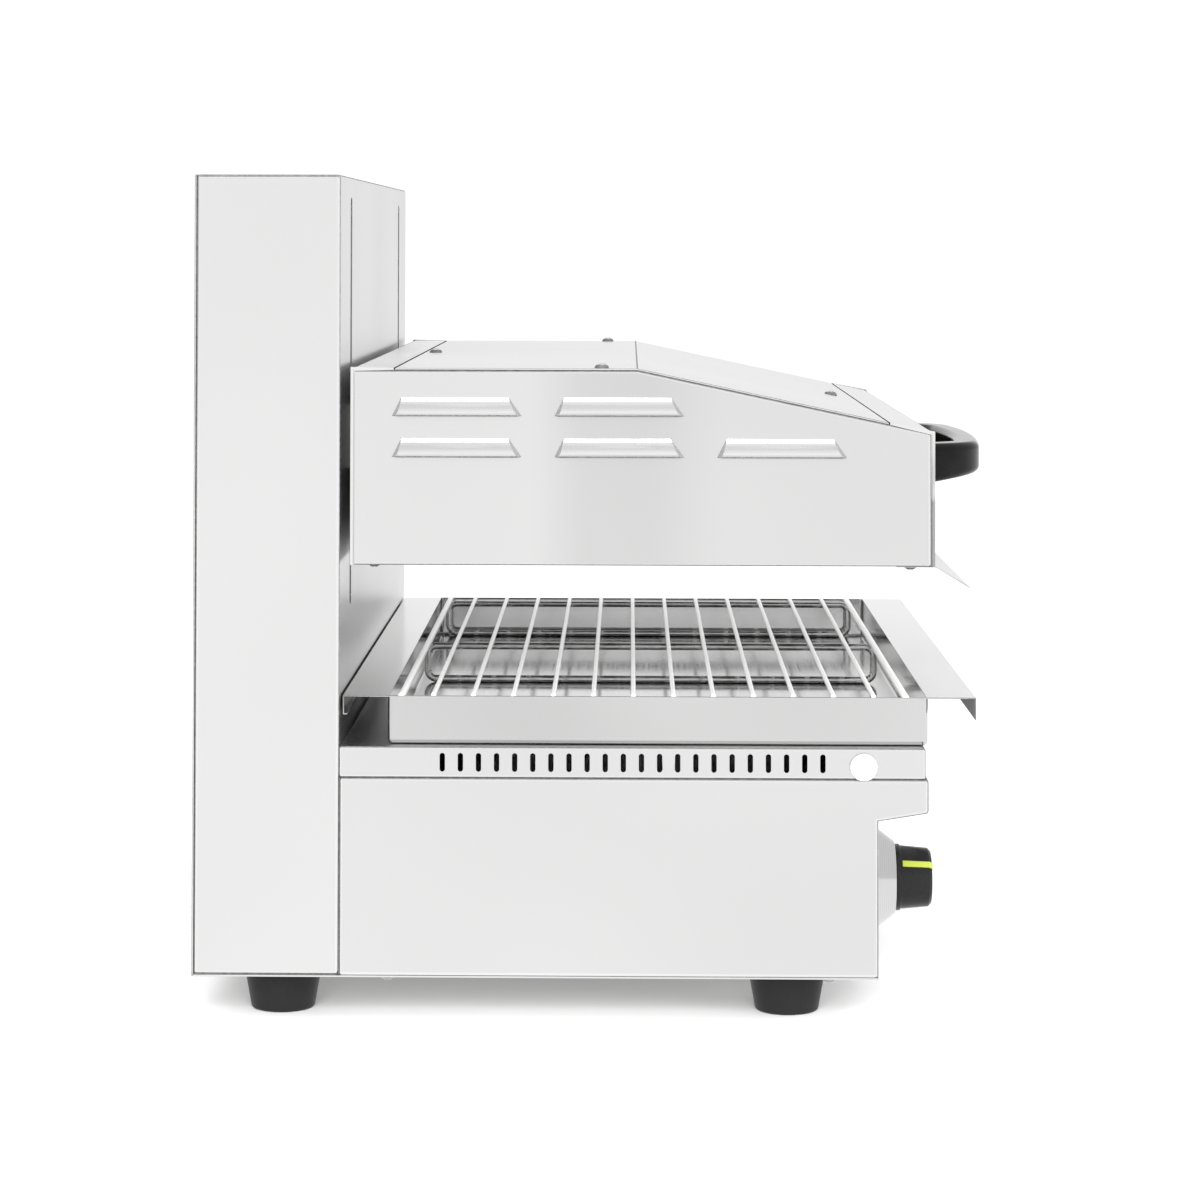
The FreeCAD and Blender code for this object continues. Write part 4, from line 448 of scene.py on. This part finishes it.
def dressed(name, material, bend=0, edge=0, planes=None, segments=2, extra=(), least=0):
    # copies the node, joins its loose triangles, rounds its bends and then its edges, in mm;
    # extra holds the painted shade of the bends, the painted shade of the edges and the painted highlight on
    # the bends where they face a side
    source = nodes[name]
    mesh = source.data.copy()
    piece = bpy.data.objects.new(name + ".dressed", mesh)
    bpy.context.scene.collection.objects.link(piece)
    mesh.materials.clear()
    for each in (material, *extra):
        mesh.materials.append(each)
    pick(piece)
    bpy.ops.object.mode_set(mode="EDIT")
    bpy.ops.mesh.select_all(action="SELECT")
    bpy.ops.mesh.remove_doubles(threshold=dressing["mergeWithin"])
    bpy.ops.mesh.dissolve_limited(angle_limit=math.radians(dressing["flatWithin"]))
    bpy.ops.mesh.select_all(action="DESELECT")
    low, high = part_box(name)
    outer = planes or [(axis, side[axis]) for axis in range(3) for side in (low, high)]
    if bend:
        bm = bmesh.from_edit_mesh(mesh)
        for each in bm.edges:
            each.select_set(isBend(each, outer, dressing["bendDepth"] * bend * mm))
        bmesh.update_edit_mesh(mesh)
        if any(each.select for each in bm.edges):
            bpy.ops.mesh.bevel(
                offset=bend * mm, segments=dressing["bendSegments"], profile=0.5,
                clamp_overlap=False, material=1 if extra else -1,
            )
    bpy.ops.object.mode_set(mode="OBJECT")
    # painted highlight: the faces of a bend that face along X get the bright finish
    for face in mesh.polygons:
        if extra and face.material_index == 1 and abs(face.normal.x) > 0.9:
            face.material_index = 3
    if edge:
        rounding = piece.modifiers.new("rounding", "BEVEL")
        rounding.width = edge * mm
        rounding.segments = segments
        if least:
            weightLong(mesh, least)
        rounding.limit_method = "WEIGHT" if least else "ANGLE"
        rounding.angle_limit = math.radians(dressing["edgeAngle"])
        rounding.use_clamp_overlap = not least
        rounding.material = 2 if extra else -1
        applyModifiers(piece)
    pick(piece)
    bpy.ops.object.shade_smooth_by_angle(angle=math.radians(dressing["smoothAngle"]))
    weights = piece.modifiers.new("weights", "WEIGHTED_NORMAL")
    weights.keep_sharp = True
    applyModifiers(piece)
    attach(piece, body_of(source)[0])
    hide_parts(name)
    return piece


# sheet metal: finish, radius of its bends and of its edges, in mm
casings = {
    "column_shell": (steelUp, 2.0, 0.4),
    "rear_cover": (steelUp, 0.5, 0.3),
    "base_box": (steelDeep, 1.9, 0.4),
    "floor_plate": (steelDeep, 0.4, 0.3),
    "control_panel": (steelWide, 1.2, 0.3),
    "slotted_deck": (steelDeep, 1.3, 0.35),
    "hood_rear_panel": (coverSteelLit, 1.8, 0.4),
    "hood_top_cover": (coverSteelLit, 0.5, 0.3),
    "hood_front_panel": (coverSteelLit, 1.8, 0.5),
    # the deflector's lighter steel is painted light
    "front_deflector": (paintedLightSheet, 0, 0.35),
    "drip_pan": (brightSheet, 0, 0.35),
    "reflector": (brightSheet, 0, 0.2),
}
made = {}
for name, (material, bend, edge) in casings.items():
    made[name] = dressed(name, material, bend, edge, extra=paintedBendsAndEdges, least=2.5)


def repaint(piece, material, test):
    # gives the faces that pass the test another finish
    piece.data.materials.append(material)
    for face in piece.data.polygons:
        if test(face.center, face.normal):
            face.material_index = len(piece.data.materials) - 1


# painted light and shade: the pan's top rims get a lighter steel, and the inside of its front hook, which is
# in shade, is painted dark
panLow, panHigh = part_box("drip_pan")
repaint(made["drip_pan"], rimSheetPaintedLight, lambda at, n: n.z > 0.9 and at.z > panHigh.z - 0.5 * mm)
repaint(made["drip_pan"], paintedShadeSteel, lambda at, n: n.y > 0.5 and at.y < panLow.y + 3 * mm)
# painted shade: the column's front gets a darker steel than its sides
repaint(made["column_shell"], steelDeep, lambda at, n: n.y < -0.9)
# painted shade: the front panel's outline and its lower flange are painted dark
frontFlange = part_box("hood_front_panel")[0].z + 2.5 * mm
repaint(made["hood_front_panel"], paintedShadeSteel, lambda at, n: 0.05 < abs(n.x) < 0.8)
repaint(made["hood_front_panel"], paintedShadeSteel, lambda at, n: abs(n.x) > 0.9 and at.z < frontFlange)
# painted shade: underneath, the floor plate gets a dull darker steel, which deepens the shadow under the
# base
repaint(made["floor_plate"], plainSteel, lambda at, n: n.z < -0.9)
# painted light and shade: the deflector is painted light, with a painted dark line at its ends
repaint(made["front_deflector"], paintedLightSheet, lambda at, n: abs(n.x) < 0.9)
repaint(made["front_deflector"], paintedShadeSteel, lambda at, n: abs(n.x) >= 0.9)

hoodSides = {
    "face": 0.3,  # the panels' outer faces, from the middle
    "bend": 1.7,
    "edge": 0.42,
    "rows": (0.349, 0.3744),  # lower edges of the louvres
    "louvreTop": 13 * mm,  # all measured from a louvre's lower edge
    "crest": 9 * mm,
    "rim": 0.8 * mm,
    "margin": 15 * mm,  # from the panel's ends to the louvres
    "proud": 0.2 * mm,  # beyond this a face belongs to a louvre
}


def dressHoodSide(side, sign):
    look = hoodSides
    name = "hood_side_" + side
    low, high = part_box(name)
    outer = [(0, sign * look["face"])] + [(axis, end[axis]) for axis in (1, 2) for end in (low, high)]
    panel = dressed(
        name, hoodSteel, look["bend"], look["edge"], planes=outer, extra=paintedBendsAndEdges, least=1.5
    )

    def onLouvre(at, deep=look["louvreTop"]):
        inside = low.y + look["margin"] < at.y < high.y - look["margin"]
        outside = at.x * sign > look["face"] + look["proud"]
        return inside and outside and any(-1 * mm < at.z - row < deep for row in look["rows"])

    # each louvre, painted in light and shade: a painted light face, a painted highlight on the crest,
    # painted shade at its ends and a painted dark lower edge
    repaint(panel, paintedLightSheet, lambda at, n: onLouvre(at) and n.z > 0.12)
    repaint(
        panel, louvreCrestHighlight,
        lambda at, n: onLouvre(at) and not onLouvre(at, look["crest"]) and n.z > 0.5,
    )
    repaint(panel, louvreShade, lambda at, n: onLouvre(at) and abs(n.y) > 0.35)
    repaint(panel, paintedShadeSteel, lambda at, n: onLouvre(at, look["rim"]))


dressHoodSide("left", -1)
dressHoodSide("right", 1)
print("casings dressed")

# fittings: finish, radius of the edges in mm, and how many steps round them
fittings = {
    "wire_rack": (glowingWire, 0, 2),
    "rack_loops": (loopWire, 0, 2),
    "handle": (glossPhenolic, 0, 2),
    "hood_screws": (zincPlate, 0.3, 2),
    "casing_screws": (zincPlate, 0.3, 2),
    "foot_screws": (zincPlate, 0.3, 2),
    "arm_bolts": (blackSteel, 0.4, 2),
    "vent_plugs": (whitePlastic, 0.6, 3),
    "cable_gland": (satinPlastic, 0.5, 2),
    "foot_rear_left": (footRubber, 0.8, 3),
    "foot_rear_right": (footRubber, 0.8, 3),
    "foot_front_left": (footRubber, 0.8, 3),
    "foot_front_right": (footRubber, 0.8, 3),
}
for name, (material, edge, steps) in fittings.items():
    made[name] = dressed(name, material, edge=edge, segments=steps)
# painted shade and highlight: the screws' heads are painted dark round a painted highlight on top, and the
# plugs painted darker round their middle
repaint(made["hood_screws"], paintedShadeSteel, lambda at, n: n.z <= 0.8)
repaint(made["hood_screws"], bendHighlight, lambda at, n: n.z > 0.8)
repaint(made["vent_plugs"], plugRimShade, lambda at, n: abs(n.x) < 0.75)

for side in ("left", "right"):
    low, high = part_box("bezel_" + side)
    middle = (low + high) / 2
    turned = turnedMetal("turnedBezel" + side.capitalize(), middle, **bezelLook)
    dressed("bezel_" + side, turned, edge=0.25)
    dressed("knob_" + side, satinPlastic, edge=1.0, segments=4)
    dressed("pointer_" + side, pointerInlay, edge=0.1)
    dressed("pilot_lamp_" + side, lampAmber, edge=0.3)

# the cables' straight runs keep their upper ends at the pulleys as the hood and the weight move
cableRuns = {"cable_front_strands": "hood", "cable_rear_strands": "balance_weight"}
for name, body in cableRuns.items():
    low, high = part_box(name)
    strands = bpy.data.objects.new(name + ".dressed", nodes[name].data.copy())
    bpy.context.scene.collection.objects.link(strands)
    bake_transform(strands, "base", body, (0, 0, high.z), (0, 0, low.z))
    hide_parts(name)
print("fittings dressed")


# floor, world and lights

stageLook = {
    "floorSize": 12.0,
    "floorColour": 0.84,
    "floorRoughness": 0.9,
    "floorGlow": 0.04,
    "floorMirrored": 0.97,  # what metal sees of the floor
    "skyForLight": 1.25,
    "skySeen": 1.05,
    "mirroredTone": 0.8,  # grey of the sky that metal sees
    # how bright metal sees it, by direction: from, to, then the values at both
    "skyMirrored": {
        "X camera side": (-0.98, -0.8, 1.17, 0.87),
        "X far side": (0.8, 0.98, 1.0, 1.28),
        "Y behind": (0.7, 0.98, 1.0, 0.5),
        "Z overhead": (0.8, 0.97, 1.0, 1.3),
    },
}


def makeFloor():
    clearSelection()
    bpy.ops.mesh.primitive_plane_add(size=stageLook["floorSize"], location=(0, 0, 0))
    floor = bpy.context.object
    floor.name = "floor"
    colour = (stageLook["floorColour"],) * 3
    material = newMaterial("paleFloor", colour, 0.0, stageLook["floorRoughness"])
    tree = material.node_tree
    shader = tree.nodes["Principled BSDF"]
    shader.inputs["Specular IOR Level"].default_value = 0.0
    shader.inputs["Emission Color"].default_value = (1, 1, 1, 1)
    shader.inputs["Emission Strength"].default_value = stageLook["floorGlow"]
    paths = addNode(material, "ShaderNodeLightPath")
    glow = addNode(material, "ShaderNodeEmission", Strength=stageLook["floorMirrored"])
    mix = addNode(material, "ShaderNodeMixShader")
    connect(material, (paths, "Is Glossy Ray", mix, 0), (shader, 0, mix, 1), (glow, 0, mix, 2))
    tree.links.new(mix.outputs[0], tree.nodes["Material Output"].inputs["Surface"])
    floor.data.materials.append(material)


def plainSky(tree, strength, tone=1.0):
    sky = tree.nodes.new("ShaderNodeBackground")
    sky.inputs["Color"].default_value = (tone, tone, tone, 1)
    sky.inputs["Strength"].default_value = strength
    return sky


def combine(tree, operation, first, second):
    both = tree.nodes.new("ShaderNodeMath")
    both.operation = operation
    tree.links.new(first, both.inputs[0])
    tree.links.new(second, both.inputs[1])
    return both.outputs[0]


def mixSkies(tree, share, first, second):
    mix = tree.nodes.new("ShaderNodeMixShader")
    for socket, source in zip(mix.inputs, (share, first, second)):
        tree.links.new(source, socket)
    return mix.outputs[0]


def makeWorld():
    world = bpy.data.worlds.new("studio")
    bpy.context.scene.world = world
    world.use_nodes = True
    tree = world.node_tree
    tree.nodes.clear()
    out = tree.nodes.new("ShaderNodeOutputWorld")
    paths = tree.nodes.new("ShaderNodeLightPath")
    direction = tree.nodes.new("ShaderNodeTexCoord")
    split = tree.nodes.new("ShaderNodeSeparateXYZ")
    tree.links.new(direction.outputs["Generated"], split.inputs[0])
    seen = plainSky(tree, stageLook["skySeen"])
    lit = plainSky(tree, stageLook["skyForLight"])
    # what metal sees: a pale studio, brighter overhead and darker behind
    mirrored = plainSky(tree, 1.0, stageLook["mirroredTone"])
    strength = None
    for axis, stops in stageLook["skyMirrored"].items():
        ramp = tree.nodes.new("ShaderNodeMapRange")
        ramp.interpolation_type = "SMOOTHSTEP"
        for socket, value in zip(("From Min", "From Max", "To Min", "To Max"), stops):
            ramp.inputs[socket].default_value = value
        tree.links.new(split.outputs[axis[0]], ramp.inputs["Value"])
        share = ramp.outputs["Result"]
        strength = combine(tree, "MULTIPLY", strength, share) if strength else share
    tree.links.new(strength, mirrored.inputs["Strength"])
    unseen = mixSkies(tree, paths.outputs["Is Glossy Ray"], lit.outputs[0], mirrored.outputs[0])
    direct = combine(
        tree, "MAXIMUM", paths.outputs["Is Camera Ray"], paths.outputs["Is Transmission Ray"]
    )
    tree.links.new(mixSkies(tree, direct, unseen, seen.outputs[0]), out.inputs["Surface"])


lamps = {
    "frontSide": {"at": (-1.2, -2.3, 0.7), "size": 1.2, "watts": 35},
    "overhead": {"at": (0.2, -0.6, 2.6), "size": 2.4, "watts": 30},
    "cameraSide": {"at": (-2.6, 0.1, 0.85), "size": 1.4, "watts": 110},
}
lampAim = Vector((0, 0, 0.25))


def makeLamp(name, at, size, watts):
    lamp = bpy.data.lights.new(name, "AREA")
    lamp.energy = watts
    lamp.size = size
    holder = bpy.data.objects.new(name, lamp)
    bpy.context.scene.collection.objects.link(holder)
    holder.location = at
    # metal would show the lamp itself, so it sees only the sky and the floor
    holder.visible_glossy = False
    holder.rotation_euler = (lampAim - Vector(at)).to_track_quat("-Z", "Y").to_euler()


makeFloor()
makeWorld()
for name, look in lamps.items():
    makeLamp(name, **look)

cameraLook = {
    "at": (-2.3756, -0.02196, 0.48025),
    "focal": 3344.25,  # in the photo's pixels, of 1200 by 1200
    "frame": 1200,
    "centre": (573.26, 162.08),  # the photo's principal point
    "pitch": 0.0249,
    "yaw": 0.0169,
    "roll": -0.0018,
    "sensor": 36.0,
    "shiftWithin": 1 * mm,  # how near the camera must be for the lens to be shifted
}


def makeCamera():
    look = cameraLook
    camera = bpy.data.objects.new("camera", bpy.data.cameras.new("camera"))
    bpy.context.scene.collection.objects.link(camera)
    camera.data.sensor_width = look["sensor"]
    camera.data.lens = look["focal"] / look["frame"] * look["sensor"]
    camera.location = look["at"]
    turn = Matrix.Rotation(look["yaw"] - math.pi / 2, 4, "Z")
    lift = Matrix.Rotation(math.pi / 2 + look["pitch"], 4, "X")
    camera.rotation_euler = (turn @ lift @ Matrix.Rotation(-look["roll"], 4, "Z")).to_euler()
    bpy.context.scene.camera = camera
    # the lens is shifted only where the photo was taken from; any other view is centred
    shifts = {
        "shift_x": 0.5 - look["centre"][0] / look["frame"],
        "shift_y": look["centre"][1] / look["frame"] - 0.5,
    }
    for name, value in shifts.items():
        driver = camera.data.driver_add(name).driver
        place = driver.variables.new()
        place.name = "place"
        place.type = "TRANSFORMS"
        place.targets[0].id = camera
        place.targets[0].transform_type = "LOC_X"
        near = f"abs(place - {look['at'][0]}) < {look['shiftWithin']}"
        driver.expression = f"{value:.5f} if {near} else 0.0"


makeCamera()
bpy.context.scene.view_settings.view_transform = "Standard"
print("stage and camera set")
